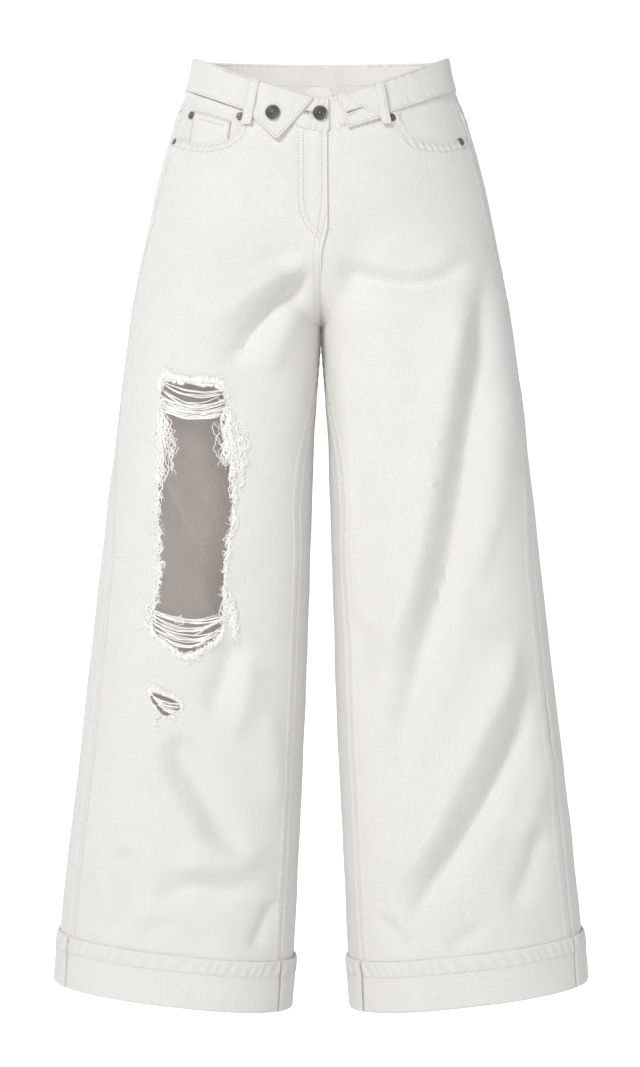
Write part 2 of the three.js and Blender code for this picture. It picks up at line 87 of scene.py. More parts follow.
SEWN = 0.02  # half the gap left between two pieces where they are sewn together

# Stations of the outline: (h, size).
OUTER = [(19, 142), (-17, 150), (-62, 166), (-129, 184), (-218, 202), (-319, 217), (-476, 237),
         (-700, 263), (-868, 281), (-1030, 297)]
INNER = [(19, 0), (-285, 0), (-319, 2.5), (-420, 8), (-700, 17), (-868, 25), (-1030, 34)]
FRONT = [(19, 88), (-19, 92), (-110, 104), (-240, 100), (-319, 95), (-600, 86), (-1030, 88)]
BACK = [(19, 86), (-19, 94), (-110, 118), (-190, 126), (-280, 112), (-420, 98), (-700, 88),
        (-1030, 90)]

# ---- Folds: a line on the cloth as (x, z) points, its half width and its height (a trough's is
# negative) ----
FRONT_FOLDS = [
    # the wearer's right leg
    ([(-9, -214), (-38, -228), (-66, -245), (-96, -268), (-128, -300)], 15, 6.5),
    ([(-11, -229), (-33, -250), (-55, -274), (-80, -306), (-103, -346)], 11, -8),
    ([(-13, -205), (-52, -218), (-99, -245)], 9, -2.2),
    ([(-20, -262), (-42, -300), (-60, -345)], 13, 3),
    ([(-177, -210), (-172, -265), (-164, -323)], 14, -2.2),
    ([(-93, -622), (-104, -668), (-122, -715)], 15, -5.5),
    ([(-76, -640), (-84, -690), (-96, -742)], 15, 3.5),
    ([(-164, -722), (-152, -752), (-135, -786), (-106, -837), (-76, -870)], 15, -7),
    ([(-190, -735), (-172, -778), (-150, -818), (-122, -856)], 17, 4),
    ([(-158, -880), (-128, -867), (-105, -868), (-50, -862)], 19, 5),
    ([(-190, -925), (-160, -903), (-140, -897), (-112, -900), (-56, -896)], 15, -5),
    ([(-224, -849), (-207, -890), (-192, -928)], 15, -4.5),
    ([(-246, -866), (-232, -905), (-222, -940)], 12, 3),
    ([(-205, -966), (-177, -940), (-148, -946), (-104, -976)], 13, -3.5),
    ([(-76, -970), (-62, -940), (-50, -910)], 9, -3),
    ([(-60, -700), (-52, -760), (-48, -820)], 14, 2.4),
    # the wearer's left leg
    ([(13, -219), (51, -238), (84, -244), (114, -243), (140, -232), (162, -213)], 11, -4.5),
    ([(16, -200), (60, -220), (118, -222), (158, -196)], 13, 2.5),
    ([(157, -239), (146, -300), (135, -365), (114, -491), (90, -596), (55, -668)], 20, 9),
    ([(182, -205), (178, -262), (172, -323), (160, -400), (150, -470), (134, -560), (104, -662),
      (84, -742), (62, -828)], 17, -9),
    ([(206, -330), (196, -430), (184, -520), (170, -590)], 20, 3.5),
    ([(215, -612), (202, -664), (186, -702), (144, -786), (110, -853), (68, -915)], 17, 8),
    ([(228, -668), (219, -716), (207, -752), (181, -803), (146, -858), (108, -916), (96, -944)],
     13, -8.5),
    ([(250, -740), (236, -800), (212, -856)], 16, 3),
    ([(241, -828), (234, -862), (224, -888), (203, -931)], 12, -4),
    ([(181, -937), (160, -948), (135, -966)], 9, -3),
    ([(59, -929), (80, -946), (102, -970)], 9, -3),
    ([(200, -500), (184, -548), (160, -600)], 13, -2.0),
    ([(43, -600), (47, -650), (53, -706)], 13, -2.0),
    ([(39, -281), (47, -360), (56, -440), (64, -508)], 15, -2.6),
    ([(22, -300), (30, -400), (34, -500), (33, -600)], 12, 2),
]
BACK_FOLDS = [
    ([(-12, -262), (-40, -278), (-70, -296), (-140, -318)], 15, -7),
    ([(-14, -288), (-52, -312), (-96, -340), (-150, -352)], 14, 5),
    ([(-20, -330), (-60, -358), (-104, -396)], 13, -4),
    ([(-150, -282), (-178, -268), (-196, -246)], 13, -3),
    ([(-206, -520), (-190, -588), (-162, -650), (-112, -714)], 19, -5),
    ([(-196, -300), (-186, -392), (-170, -455), (-150, -508), (-124, -560), (-70, -640)], 18, 16),
    ([(-60, -470), (-70, -540), (-64, -606)], 15, 3),
    ([(-225, -720), (-200, -778), (-170, -830), (-132, -880), (-90, -915)], 19, 7.5),
    ([(-232, -770), (-212, -824), (-184, -872), (-140, -922)], 14, -6),
    ([(-58, -760), (-66, -830), (-84, -878)], 14, -4),
    ([(-240, -900), (-216, -934), (-180, -958)], 12, -4),
    ([(12, -258), (36, -272), (66, -290), (132, -330)], 15, -7),
    ([(13, -284), (56, -306), (92, -334), (146, -366)], 13, 5),
    ([(22, -340), (58, -366), (92, -404)], 13, -4),
    ([(148, -288), (176, -272), (198, -250)], 13, -3),
    ([(196, -470), (176, -538), (150, -600), (118, -652), (84, -700)], 21, -7.5),
    ([(214, -500), (198, -580), (166, -654), (120, -724)], 19, 5),
    ([(58, -500), (66, -570), (62, -640)], 15, 3),
    ([(215, -760), (192, -812), (165, -860), (100, -930)], 19, 7.5),
    ([(228, -800), (206, -856), (176, -902), (132, -944)], 14, -6),
    ([(56, -780), (66, -850), (86, -900)], 14, -4),
]

# Outlines cut from the fronts, as (x, z) on the wearer's right.
SCOOP = [(-84, -45), (-86, -60), (-91, -76), (-100, -85), (-113, -89), (-130, -89.5), (-147, -84.5),
         (-160, -78)]
KNEE_RIP = [(-173, -348), (-155, -349), (-133, -351), (-107, -356), (-101, -390), (-96, -448),
            (-96, -497), (-104, -543), (-106, -590), (-107, -617), (-116, -629), (-136, -641),
            (-151, -643), (-170, -630), (-183, -617), (-182, -600), (-175, -560), (-176, -500),
            (-174, -440), (-171, -390)]
SMALL_RIP = [(-187, -686), (-170, -689), (-156, -695), (-152, -700), (-160, -708), (-172, -709)]


# ---- Small helpers ----
def smooth(a, b, x):
    """0 at a, 1 at b, with level ends."""
    u = np.clip((x - a) / (b - a), 0, 1)
    return u * u * (3 - 2 * u)


def mix(a, b, w):
    return a + (b - a) * w


def powered(x, power):
    return np.sign(x) * np.abs(x) ** power


def bump(x, width):
    """1 at 0, fading to nothing over a few widths."""
    return np.exp(-((x / width) ** 2))


def rounded(points, per_span=6, closed=False):
    """A smooth curve through points. A closed one doesn't repeat its first point."""
    p = np.array(points, float)
    before, after = (p[-1:], p[:2]) if closed else ([2 * p[0] - p[1]], [2 * p[-1] - p[-2]])
    q = np.vstack([before, p, after])
    u = np.linspace(0, 1, per_span, endpoint=False)[:, None]
    spans = []
    for a, b, c, d in zip(q[:-3], q[1:-2], q[2:-1], q[3:]):
        spans.append(0.5 * (2 * b + (c - a) * u + (2 * a - 5 * b + 4 * c - d) * u**2
                            + (3 * b - a - 3 * c + d) * u**3))
    return np.vstack(spans if closed else [*spans, p[-1:]])


def stepped(points, step, closed=False):
    """Points every step or so along straight lines between the given ones."""
    p = np.array(points, float)
    if closed:
        p = np.vstack([p, p[:1]])
    out = []
    for a, b in zip(p[:-1], p[1:]):
        count = max(1, int(round(np.linalg.norm(b - a) / step)))
        out.append(mix(a, b, np.arange(count)[:, None] / count))
    return np.vstack(out if closed else [*out, p[-1:]])


def distance_to(line, x, y):
    """Distance of each (x, y) from a line of points, and how far along the nearest place is."""
    starts = line[:-1]
    spans = line[1:] - starts
    length2 = np.maximum((spans**2).sum(1), 1e-12)
    best = np.full(x.shape, 1e9)
    along = np.zeros(x.shape)
    for i, (start, span) in enumerate(zip(starts, spans)):
        u = np.clip(((x - start[0]) * span[0] + (y - start[1]) * span[1]) / length2[i], 0, 1)
        d = np.hypot(x - start[0] - u * span[0], y - start[1] - u * span[1])
        nearer = d < best
        best = np.where(nearer, d, best)
        along = np.where(nearer, (i + u) / len(starts), along)
    return best, along


def inside(outline, x, y):
    """True where (x, y) lies in the closed outline."""
    hit = np.zeros(x.shape, bool)
    for (ax, ay), (bx, by) in zip(outline, np.roll(outline, -1, axis=0)):
        if ay == by:
            continue
        crosses = (ay > y) != (by > y)
        hit ^= crosses & (x < ax + (y - ay) * (bx - ax) / (by - ay))
    return hit


def curve_through(stations):
    """A smooth curve through stations (h, size), which run downwards."""
    hs, vs = np.array(stations, float).T
    slope = np.gradient(vs) / np.gradient(hs)

    def at(h):
        i = np.clip(np.searchsorted(-hs, -np.asarray(h, float), side="left") - 1, 0, len(hs) - 2)
        step = hs[i + 1] - hs[i]
        u = np.clip((h - hs[i]) / step, 0, 1)
        level = mix(vs[i], vs[i + 1], u * u * (3 - 2 * u))
        return level + step * u * (1 - u) * ((1 - u) * slope[i] - u * slope[i + 1])

    return at


# ---- The form ----
outer, inner, front, back = (curve_through(s) for s in (OUTER, INNER, FRONT, BACK))


def leg_share(t, h):
    """How far the cloth has turned from the torso's tube into a leg's."""
    seam_top = np.where(t < 0.5, -185.0, -120.0)
    run = np.clip((h - seam_top) / (CROTCH - seam_top), 0, 1)
    at_seam = np.where(h <= CROTCH, 1.0, 1 - np.sqrt(1 - run * run))
    from_seam = np.where(t < 0.5, t, 1 - t)
    share = mix(at_seam, smooth(-120, -300, h), smooth(0, 0.12, from_seam))
    return np.where(h < -310, 1.0, share)


def form(t, h):
    """The unfolded form of the +X half, as points of shape (..., 3)."""
    t, h = np.broadcast_arrays(np.asarray(t, float), np.asarray(h, float))
    wide, within, ahead, behind = outer(h), inner(h), front(h), back(h)
    turn = np.pi * t
    facing, sideways = np.cos(turn), np.sin(turn)
    torso = 2 / TORSO_ROUNDNESS
    torso_x = wide * powered(sideways, torso)
    torso_y = -np.where(facing > 0, ahead, behind) * powered(facing, torso)

    angle = 2 * turn + 0.6 * smooth(-560, -320, h) * np.sin(2 * turn)
    leg = 2 / mix(THIGH_ROUNDNESS, TORSO_ROUNDNESS, smooth(-320, -700, h))
    middle = (wide + within) / 2
    leg_x = middle - (wide - within) / 2 * powered(np.cos(angle), leg)
    leg_y = -np.where(np.sin(angle) > 0, ahead, behind) * powered(np.sin(angle), leg)

    share = leg_share(t, h)
    x = mix(torso_x, leg_x, share) + GAP / 2
    y = mix(torso_y, leg_y, share)
    dip = -WAIST_TILT * facing - np.where(facing > 0, FRONT_DIP, BACK_DIP) * (1 - np.abs(sideways))
    tilt = HEM_TILT * (x - middle) * smooth(-720, -960, h)
    return np.stack([x, y, h + dip * smooth(DIP_ENDS, WAIST_SEAM, h) + tilt], -1)


def outward(t, h):
    """The form's outward direction."""
    t, h = np.broadcast_arrays(np.asarray(t, float), np.asarray(h, float))
    step = 0.002
    tube = (h < CROTCH) | (t < 0)
    before = np.where(tube, t - step, np.maximum(t - step, 0))
    after = np.where(tube, t + step, np.minimum(t + step, 1))
    normal = np.cross(form(t, h - 1) - form(t, h + 1), form(after, h) - form(before, h))
    return normal / np.linalg.norm(normal, axis=-1, keepdims=True)


FOLD_DEPTH = 1.65  # how much deeper than the part's folds the cloth's go


def fold_height(x, z, folds):
    height = np.zeros(x.shape)
    for line, width, tall in folds:
        path = rounded(line, 5)
        reach = 3 * width
        near = ((x > path[:, 0].min() - reach) & (x < path[:, 0].max() + reach)
                & (z > path[:, 1].min() - reach) & (z < path[:, 1].max() + reach))
        if not near.any():
            continue
        d, along = distance_to(path, x[near], z[near])
        ends = smooth(0, 0.25, along) * smooth(1, 0.75, along)
        taper = mix(0.65, 1, ends)
        height[near] += FOLD_DEPTH * tall * ends * np.exp(-np.abs(d / (width * taper)) ** 1.8)
    return height


WAVES = np.random.default_rng(7).uniform(-1, 1, (18, 4))


def ripple(x, y, z):
    """Low, irregular unevenness of cloth that has been washed and worn, about half a millimetre."""
    total = np.zeros(x.shape)
    for i, (a, b, c, phase) in enumerate(WAVES):
        size = 26 + 8 * i
        total += np.sin((a * x + 1.4 * b * z + c * y) * 6.3 / size + 9 * phase) * (0.05 + 0.005 * i)
    return total


def cloth(side, t, h, lift=0.0, folded=True):
    """Points on the garment, lift millimetres out from the form."""
    place = form(t, h)
    normal = outward(t, h)
    x, y, z = place[..., 0], place[..., 1], place[..., 2]
    height = np.zeros(x.shape)
    if folded:
        calm = smooth(0, 14, x - inner(h)) * smooth(0, 40, np.abs(y)) * smooth(WAIST_SEAM, -60, h)
        height = np.where(y < 0, fold_height(side * x, z, FRONT_FOLDS),
                          fold_height(side * x, z, BACK_FOLDS)) * calm
        height = height + ripple(side * x, y, z) * smooth(WAIST_SEAM, -50, h)
    place = place + normal * (height + lift)[..., None]
    keep_clear = (np.asarray(t) >= 0) & (h < WAIST_SEAM)
    place[..., 0] += SEWN - GAP / 2
    place[..., 0] = np.where(keep_clear, np.maximum(place[..., 0], SEWN), place[..., 0])
    place[..., 0] *= side
    return place


def place_at(x, z, behind=False):
    """The (t, h) of places given as x > 0 and z, on the front or the back."""
    x, z = np.asarray(x, float), np.asarray(z, float)
    h = z.copy()
    for _ in range(9):
        low = np.full(x.shape, 0.5 if behind else -0.12)
        high = np.full(x.shape, 1.12 if behind else 0.5)
        for _ in range(18):
            t = (low + high) / 2
            too_far = form(t, h)[..., 0] > x
            go_down = too_far != behind
            high = np.where(go_down, t, high)
            low = np.where(go_down, low, t)
        h = h + z - form(t, h)[..., 2]
    return t, h


def nudged(t, h, distance):
    """t moved along the form by so many millimetres."""
    step = 0.001
    return t + distance * step / np.linalg.norm(form(t + step, h) - form(t, h), axis=-1)


def inseam_at(h):
    return INSEAM_SHIFT * smooth(CROTCH, -500, h)


def yoke_drop(t, level):
    """How far the yoke seam and the rows near it drop towards the centre back."""
    across = np.clip((t - SIDE_SEAM) / (1 - SIDE_SEAM), 0, 1)
    above = np.clip((WAIST_SEAM - level) / (WAIST_SEAM - YOKE_SEAM), 0, 1)
    share = np.where(level > YOKE_SEAM, above, smooth(YOKE_LEVEL, YOKE_SEAM, level))
    return YOKE_DROP * across * share


# ---- Materials ----
class Material:
    """A material whose nodes are added with their numbers and wires in one call."""

    def __init__(self, name, **values):
        self.material = bpy.data.materials.new(name)
        self.material.use_nodes = True
        self.surface = self.material.node_tree.nodes["Principled BSDF"]
        self.fill(self.surface, values)

    def fill(self, node, values):
        """Sets sockets by name; an output socket given as a value is wired in."""
        for key, value in values.items():
            socket = node.inputs[key if isinstance(key, int) else key.replace("_", " ")]
            if isinstance(value, bpy.types.NodeSocket):
                self.material.node_tree.links.new(value, socket)
            else:
                socket.default_value = value

    def add(self, kind, values=None, **settings):
        node = self.material.node_tree.nodes.new(f"ShaderNode{kind}")
        for key, value in settings.items():
            setattr(node, key, value)
        self.fill(node, values or {})
        return node

    def noise(self, vector, scale, detail=2.0):
        return self.add("TexNoise", {"Vector": vector, "Scale": scale, "Detail": detail}).outputs["Fac"]

    def ranged(self, value, low, high, to_low, to_high):
        return self.add("MapRange", {"Value": value, "From Min": low, "From Max": high,
                                     "To Min": to_low, "To Max": to_high}).outputs["Result"]

    def blend(self, factor, first, second):
        """Two colours mixed; a mix node of colours has them in sockets 6 and 7."""
        return self.add("Mix", {0: factor, 6: first, 7: second}, data_type="RGBA").outputs[2]

    def ramp(self, factor, stops):
        node = self.add("ValToRGB", {"Fac": factor})
        for element, (position, colour) in zip(node.color_ramp.elements, stops):
            element.position = position
            element.color = (*colour, 1)
        return node.outputs["Color"]

    def relief(self, height, strength, distance):
        bumps = self.add("Bump", {"Height": height, "Strength": strength, "Distance": distance})
        self.fill(self.surface, {"Normal": bumps.outputs["Normal"]})


def denim_material(name, light, dark, groove, glow=0.0):
    """Undyed twill: diagonal ribs, warp streaks, soft mottling, and painted shade that darkens seams,
    stitch lines, edges and pucker troughs.
    """
    light, dark, groove = (*light, 1), (*dark, 1), (*groove, 1)
    made = Material(name, Roughness=0.92, Specular_IOR_Level=0.25, Sheen_Weight=0.12, Sheen_Roughness=0.6,
                    Emission_Color=light, Emission_Strength=glow)  # painted light: the emission makes the cloth glow as if lit
    uv = made.add("UVMap", uv_map="cloth").outputs["UV"]
    turned = made.add("Mapping", {"Vector": uv, "Rotation": (0, 0, math.radians(-50))})
    ribs = {"Vector": turned.outputs["Vector"], "Scale": TWILL_SCALE, "Distortion": 2.2,
            "Detail": 2, "Detail Scale": 1.6}
    twill = made.add("TexWave", ribs, bands_direction="Y").outputs["Fac"]
    streaked = made.add("Mapping", {"Vector": uv, "Scale": (0.55, 0.035, 1)})
    warp = made.noise(streaked.outputs["Vector"], 1.0, 3)
    mottle = made.noise(uv, 0.03, 4)
    grain = made.noise(uv, 0.9, 3)
    # painted shade: the shade attribute turns the colour towards groove, the colour of shade, in seam
    # grooves, along edges and in pucker troughs
    seam = made.add("Attribute", attribute_name="shade").outputs["Fac"]
    colour = made.blend(made.ranged(twill, 0.1, 0.9, 0.9, 0.0), light, dark)
    colour = made.blend(made.ranged(grain, 0.35, 0.65, 0.6, 0.0), colour, dark)
    colour = made.blend(made.ranged(warp, 0.4, 0.75, 0.0, 0.3), colour, dark)
    colour = made.blend(made.ranged(mottle, 0.42, 0.72, 0.0, 0.22), colour, dark)
    colour = made.blend(made.ranged(seam, 0, 1, 0.0, 0.8), colour, groove)
    heights = made.add("Math", {0: twill, 1: grain}, operation="ADD").outputs["Value"]
    made.fill(made.surface, {"Base Color": colour})
    made.relief(heights, 0.8, 0.00028)
    return made.material


def thread_material(name, colour, glow=0.0):
    """Cotton thread: matt, with a little unevenness along it."""
    made = Material(name, Roughness=0.85, Sheen_Weight=0.2, Emission_Color=(*colour, 1),
                    Emission_Strength=glow)  # painted light: the emission makes the thread glow
    noise = made.noise(made.add("TexCoord").outputs["Object"], 900)
    dim = tuple(0.86 * v for v in colour)
    made.fill(made.surface, {"Base Color": made.ramp(noise, ((0.35, dim), (0.65, colour)))})
    return made.material


def metal_material():
    """Antiqued zinc: dark in the hollows, brushed lighter on the rims."""
    made = Material("antique_metal", Metallic=0.9)
    noise = made.noise(made.add("TexCoord").outputs["Object"], 420, 5)
    worn = made.add("Attribute", attribute_name="shade").outputs["Fac"]
    total = made.add("Math", {0: noise, 1: 0.5, 2: worn}, operation="MULTIPLY_ADD").outputs["Value"]
    colour = made.ramp(total, ((0.2, (0.012, 0.011, 0.0095)), (11 / 12, (0.2, 0.185, 0.17))))
    made.fill(made.surface, {"Base Color": colour, "Roughness": made.ranged(noise, 0, 1, 0.3, 0.62)})
    made.relief(noise, 0.25, 0.0001)
    return made.material


TWILL_SCALE = 0.155  # ribs about 2 mm apart
# light and dark tones of the cotton, and the colour of the painted shade in seams and grooves
COTTON = ((0.875, 0.865, 0.852), (0.70, 0.685, 0.665), (0.58, 0.555, 0.53))
denim = denim_material("denim", *COTTON)
# painted shade and light: a darker, warmer copy of the denim for the inside faces, which also glows a
# little
denim_inside_shaded_glowing = denim_material("denim_inside_shaded_glowing", (0.84, 0.80, 0.765), (0.66, 0.62, 0.585),
                              (0.45, 0.415, 0.385), 0.075)
# painted light: the same denim, glowing, for the inside of the waistband
glowing_band_inside = denim_material("denim_glowing_band_inside", *COTTON, 0.16)
thread = thread_material("sewing_thread", (0.64, 0.605, 0.56))
# painted light: the satin and frayed threads glow
satin_thread_glowing = thread_material("satin_thread_glowing", (0.84, 0.815, 0.785), 0.04)
frayed = thread_material("frayed_thread_glowing", (0.955, 0.945, 0.93), 0.12)
metal = metal_material()


# ---- Making meshes ----
def make_object(name, points, faces, materials, uv=None, shade=None, inner_faces=0, crisp=True):
    """A smooth mesh object from points in millimetres. The last inner_faces faces take material 1."""
    mesh = bpy.data.meshes.new(name)
    faces = np.asarray(faces, np.int32)
    width = faces.shape[1]
    mesh.vertices.add(len(points))
    mesh.vertices.foreach_set("co", (np.asarray(points) * METRES).astype(np.float32).ravel())
    mesh.loops.add(faces.size)
    mesh.loops.foreach_set("vertex_index", faces.ravel())
    mesh.polygons.add(len(faces))
    mesh.polygons.foreach_set("loop_start", np.arange(len(faces), dtype=np.int32) * width)
    mesh.polygons.foreach_set("use_smooth", np.ones(len(faces), bool))
    if inner_faces:
        slots = np.zeros(len(faces), np.int32)
        slots[-inner_faces:] = 1
        mesh.polygons.foreach_set("material_index", slots)
    if uv is not None:
        layer = mesh.uv_layers.new(name="cloth")
        layer.data.foreach_set("uv", np.asarray(uv, np.float32)[faces.ravel()].ravel())
    if shade is not None:
        attribute = mesh.attributes.new("shade", "FLOAT", "POINT")
        attribute.data.foreach_set("value", np.asarray(shade, np.float32))
    for material in materials:
        mesh.materials.append(material)
    mesh.update(calc_edges=True)
    mesh.validate()
    if crisp:
        mesh.set_sharp_from_angle(angle=math.radians(48))
    thing = bpy.data.objects.new(name, mesh)
    bpy.context.scene.collection.objects.link(thing)
    return thing


def thicken(outside, within, faces):
    """A closed skin: faces over the outside points, turned ones over the inside, joined at edges."""
    count = len(outside)
    edges = np.vstack([faces[:, [0, 1]], faces[:, [1, 2]], faces[:, [2, 0]]])
    keys = np.sort(edges, axis=1)
    _, first, uses = np.unique(keys, axis=0, return_index=True, return_counts=True)
    rim = edges[first[uses == 1]]
    a, b = rim[:, 0], rim[:, 1]
    rim_faces = np.vstack([np.stack([b, a, a + count], 1), np.stack([b, a + count, b + count], 1)])
    turned = faces[:, ::-1] + count
    return np.vstack([outside, within]), np.vstack([faces, rim_faces, turned]), len(turned)


def triangulate(points, loops, keep):
    """Triangles over flat points whose first ones are closed loops; keep(x, y) picks triangles."""
    edges = []
    start = 0
    for size in loops:
        edges += [(start + i, start + (i + 1) % size) for i in range(size)]
        start += size
    made = delaunay_2d_cdt([Vector(p) for p in points], edges, [], 0, 1e-4)
    flat = np.array([tuple(v) for v in made[0]])
    faces = np.array(made[2], int)
    centre = flat[faces].mean(1)
    faces = faces[keep(centre[:, 0], centre[:, 1])]
    a, b, c = flat[faces[:, 0]], flat[faces[:, 1]], flat[faces[:, 2]]
    area = (b[:, 0] - a[:, 0]) * (c[:, 1] - a[:, 1]) - (b[:, 1] - a[:, 1]) * (c[:, 0] - a[:, 0])
    faces = np.where((area < 0)[:, None], faces[:, ::-1], faces)[np.abs(area) > 1e-7]
    used, again = np.unique(faces, return_inverse=True)
    return flat[used], again.reshape(faces.shape)


def settle(thing, nodes):
    """The piece rides on the garment and stands for its solids."""
    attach(thing, "root")
    if nodes:
        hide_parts(*nodes)


# ---- Sewing lines: distances on a panel, worked out row by row ----
def arc_between(t0, t1, h):
    """Length round the form from t0 to t1 at each height."""
    steps = np.linspace(0, 1, 17)[:, None]
    path = form(mix(t0, t1, steps), np.broadcast_to(h, (17, len(h))))
    return np.linalg.norm(np.diff(path, axis=0), axis=2).sum(0)


def from_side_seam(t, h):
    """Distance round the form from the side seam, positive towards the back."""
    seam = np.full(np.shape(t), SIDE_SEAM)
    return arc_between(seam, t, h) * np.sign(t - SIDE_SEAM)


def roping(along, across, near, far, tall):
    """Diagonal puckers that a seam throws, between two distances from it."""
    wave = np.sin(along * 0.62 + across * 0.25 + 0.9 * np.sin(along * 0.113) + np.sin(along * 0.031))
    return tall * wave * smooth(near - 3, near, across) * smooth(far + 5, far, across)


def seam_relief(distance, along, ridge=0.55, width=12):
    """A sewn seam's edge: a groove at the stitches and the allowance's plateau behind it."""
    plateau = 1.5 * ridge * smooth(0.2, 2.2, distance) * smooth(width + 2, width - 1, distance)
    groove = -0.6 * bump(distance, 1.0)
    return plateau + groove + roping(along, distance, 2, width - 2, 0.4)


def stitch_groove(distance):
    return -0.3 * bump(distance, 0.8)


# ---- Leg panels ----
class Panel:
    """One front or back, or a yoke: a rectangle of places (c, h), c from one seam to the other."""

    def __init__(self, side, first, last, top, bottom, drop=False):
        self.side, self.first, self.last = side, first, last
        self.top, self.bottom, self.drop = top, bottom, drop

    def t(self, c, h):
        return mix(self.first(h), self.last(h), c)

    def levels(self, c, h):
        """The true h of a place whose row is at level h."""
        return h - yoke_drop(self.t(c, h), h) if self.drop else h

    def across(self, h):
        """Width of the panel at each height."""
        return arc_between(self.first(h), self.last(h), h)


def front_first(side):
    """The t of a front's edge at the fly, the crotch and the inseam."""
    def at(h):
        h = np.asarray(h, float)
        lap = nudged(np.zeros(h.shape), h, -FLY_WIDTH * smooth(FLY_END, -150, h))
        seam = np.where(h > CROTCH, 0.0, nudged(inseam_at(h), h, SEWN))
        return np.where(h > FLY_END, lap, seam) if side < 0 else seam
    return at


def side_edge(distance):
    return lambda h: nudged(np.full(np.shape(h), SIDE_SEAM), np.asarray(h, float), distance)


def back_last(h):
    h = np.asarray(h, float)
    return np.where(h > CROTCH, 1.0, nudged(1 + inseam_at(h), h, -SEWN))


def flat_to_panel(panel, outline, behind=False):
    """An (x, z) outline, x > 0, as (c, h) on a panel."""
    p = np.array(outline, float)
    t, h = place_at(p[:, 0], p[:, 1], behind)
    first, last = panel.first(h), panel.last(h)
    return np.stack([(t - first) / (last - first), h], 1)


def jittered(outline, amount, seed):
    """An outline made ragged, as torn cloth is."""
    random = np.random.default_rng(seed)
    p = np.asarray(outline, float)
    after = np.roll(p, -1, axis=0) - np.roll(p, 1, axis=0)
    normal = np.stack([-after[:, 1], after[:, 0]], 1) / np.linalg.norm(after, axis=1, keepdims=True)
    push = random.normal(0, amount, len(p))
    push += 0.8 * amount * np.sin(np.arange(len(p)) * 0.8 + random.uniform(0, 6))
    return p + normal * push[:, None]


TEAR_STEP = 2.2
knee_rip = rounded(KNEE_RIP, 8, closed=True)
small_rip = rounded(SMALL_RIP, 8, closed=True)
knee_tear = jittered(stepped(knee_rip, TEAR_STEP, True), 0.5, 3)
small_tear = jittered(stepped(small_rip, 1.4, True), 0.35, 4)


def closed(line):
    return np.vstack([line, line[:1]])


def build_panel(node, panel, relief, columns, row_step, holes=(), scoop=None, rows_along=()):
    """The cloth of a panel. holes and scoop are loops of (c, h)."""
    width = float(panel.across(np.array([max(WIDTH_LEVEL, panel.bottom)], float))[0])
    rows = max(4, int(round((panel.top - panel.bottom) / row_step)))
    heights = np.linspace(panel.top, panel.bottom, rows + 1)
    spread = np.linspace(0, 1, columns + 1)
    spread = spread - 0.085 * np.sin(2 * math.pi * spread)  # closer together towards the seams
    rim = [(c, panel.top) for c in spread[:-1]] + [(1, h) for h in heights[:-1]]
    rim += [(c, panel.bottom) for c in spread[:0:-1]] + [(0, h) for h in heights[:0:-1]]
    scale = np.array([width, 1.0])
    loops = [np.array(rim) * scale, *[np.asarray(hole) * scale for hole in holes]]
    c, h = np.meshgrid(spread[1:-1], heights[1:-1])
    fill = np.stack([c.ravel(), h.ravel()], 1) * scale
    clear = 0.55 * min(row_step, width / columns)
    for hole in loops[1:]:
        near, _ = distance_to(closed(hole), fill[:, 0], fill[:, 1])
        fill = fill[(near > clear) & ~inside(hole, fill[:, 0], fill[:, 1])]
    if scoop is not None:
        edge = np.asarray(scoop) * scale
        near, _ = distance_to(closed(edge), fill[:, 0], fill[:, 1])
        fill = fill[near > 11.4]
        beside = np.vstack(rows_along)
        beside = beside[(beside[:, 0] < 0.99) & (beside[:, 1] < panel.top - 1.5)]
        fill = np.vstack([fill, beside * scale])
        loops.append(edge)

    def keep(x, y):
        good = np.ones(x.shape, bool)
        for hole in loops[1:]:
            good &= ~inside(hole, x, y)
        return good

    flat, faces = triangulate(np.vstack([*loops, fill]), [len(loop) for loop in loops], keep)
    place = flat / scale
    place[:, 0] = np.clip(place[:, 0], 0, 1)
    t = panel.t(place[:, 0], place[:, 1])
    level = place[:, 1]
    h = panel.levels(place[:, 0], level)
    lift, shade = relief(panel, place[:, 0], t, level, h)
    outside = cloth(panel.side, t, h, lift)
    within = cloth(panel.side, t, h, lift - CLOTH)
    if panel.side > 0:
        faces = faces[:, ::-1]
    uv = np.stack([from_side_seam(t, h) * panel.side, h], 1)
    points, skin, inner_count = thicken(outside, within, faces)
    thing = make_object(f"{node}_cloth", points, skin, [denim, denim_inside_shaded_glowing], np.vstack([uv, uv]),
                        np.concatenate([shade, shade]), inner_count)
    settle(thing, [node])
    widths = panel.across(heights)


STITCH_FROM_SEAM = 6.2
SIDE_STITCH = 9
TUCK = 0.8  # how far the panels reach up into the waistband
PANEL_END = HEM + 2.7  # where the panels stop inside the turned-up hem
WIDTH_LEVEL = -600  # a leg panel's columns are spaced by its width here


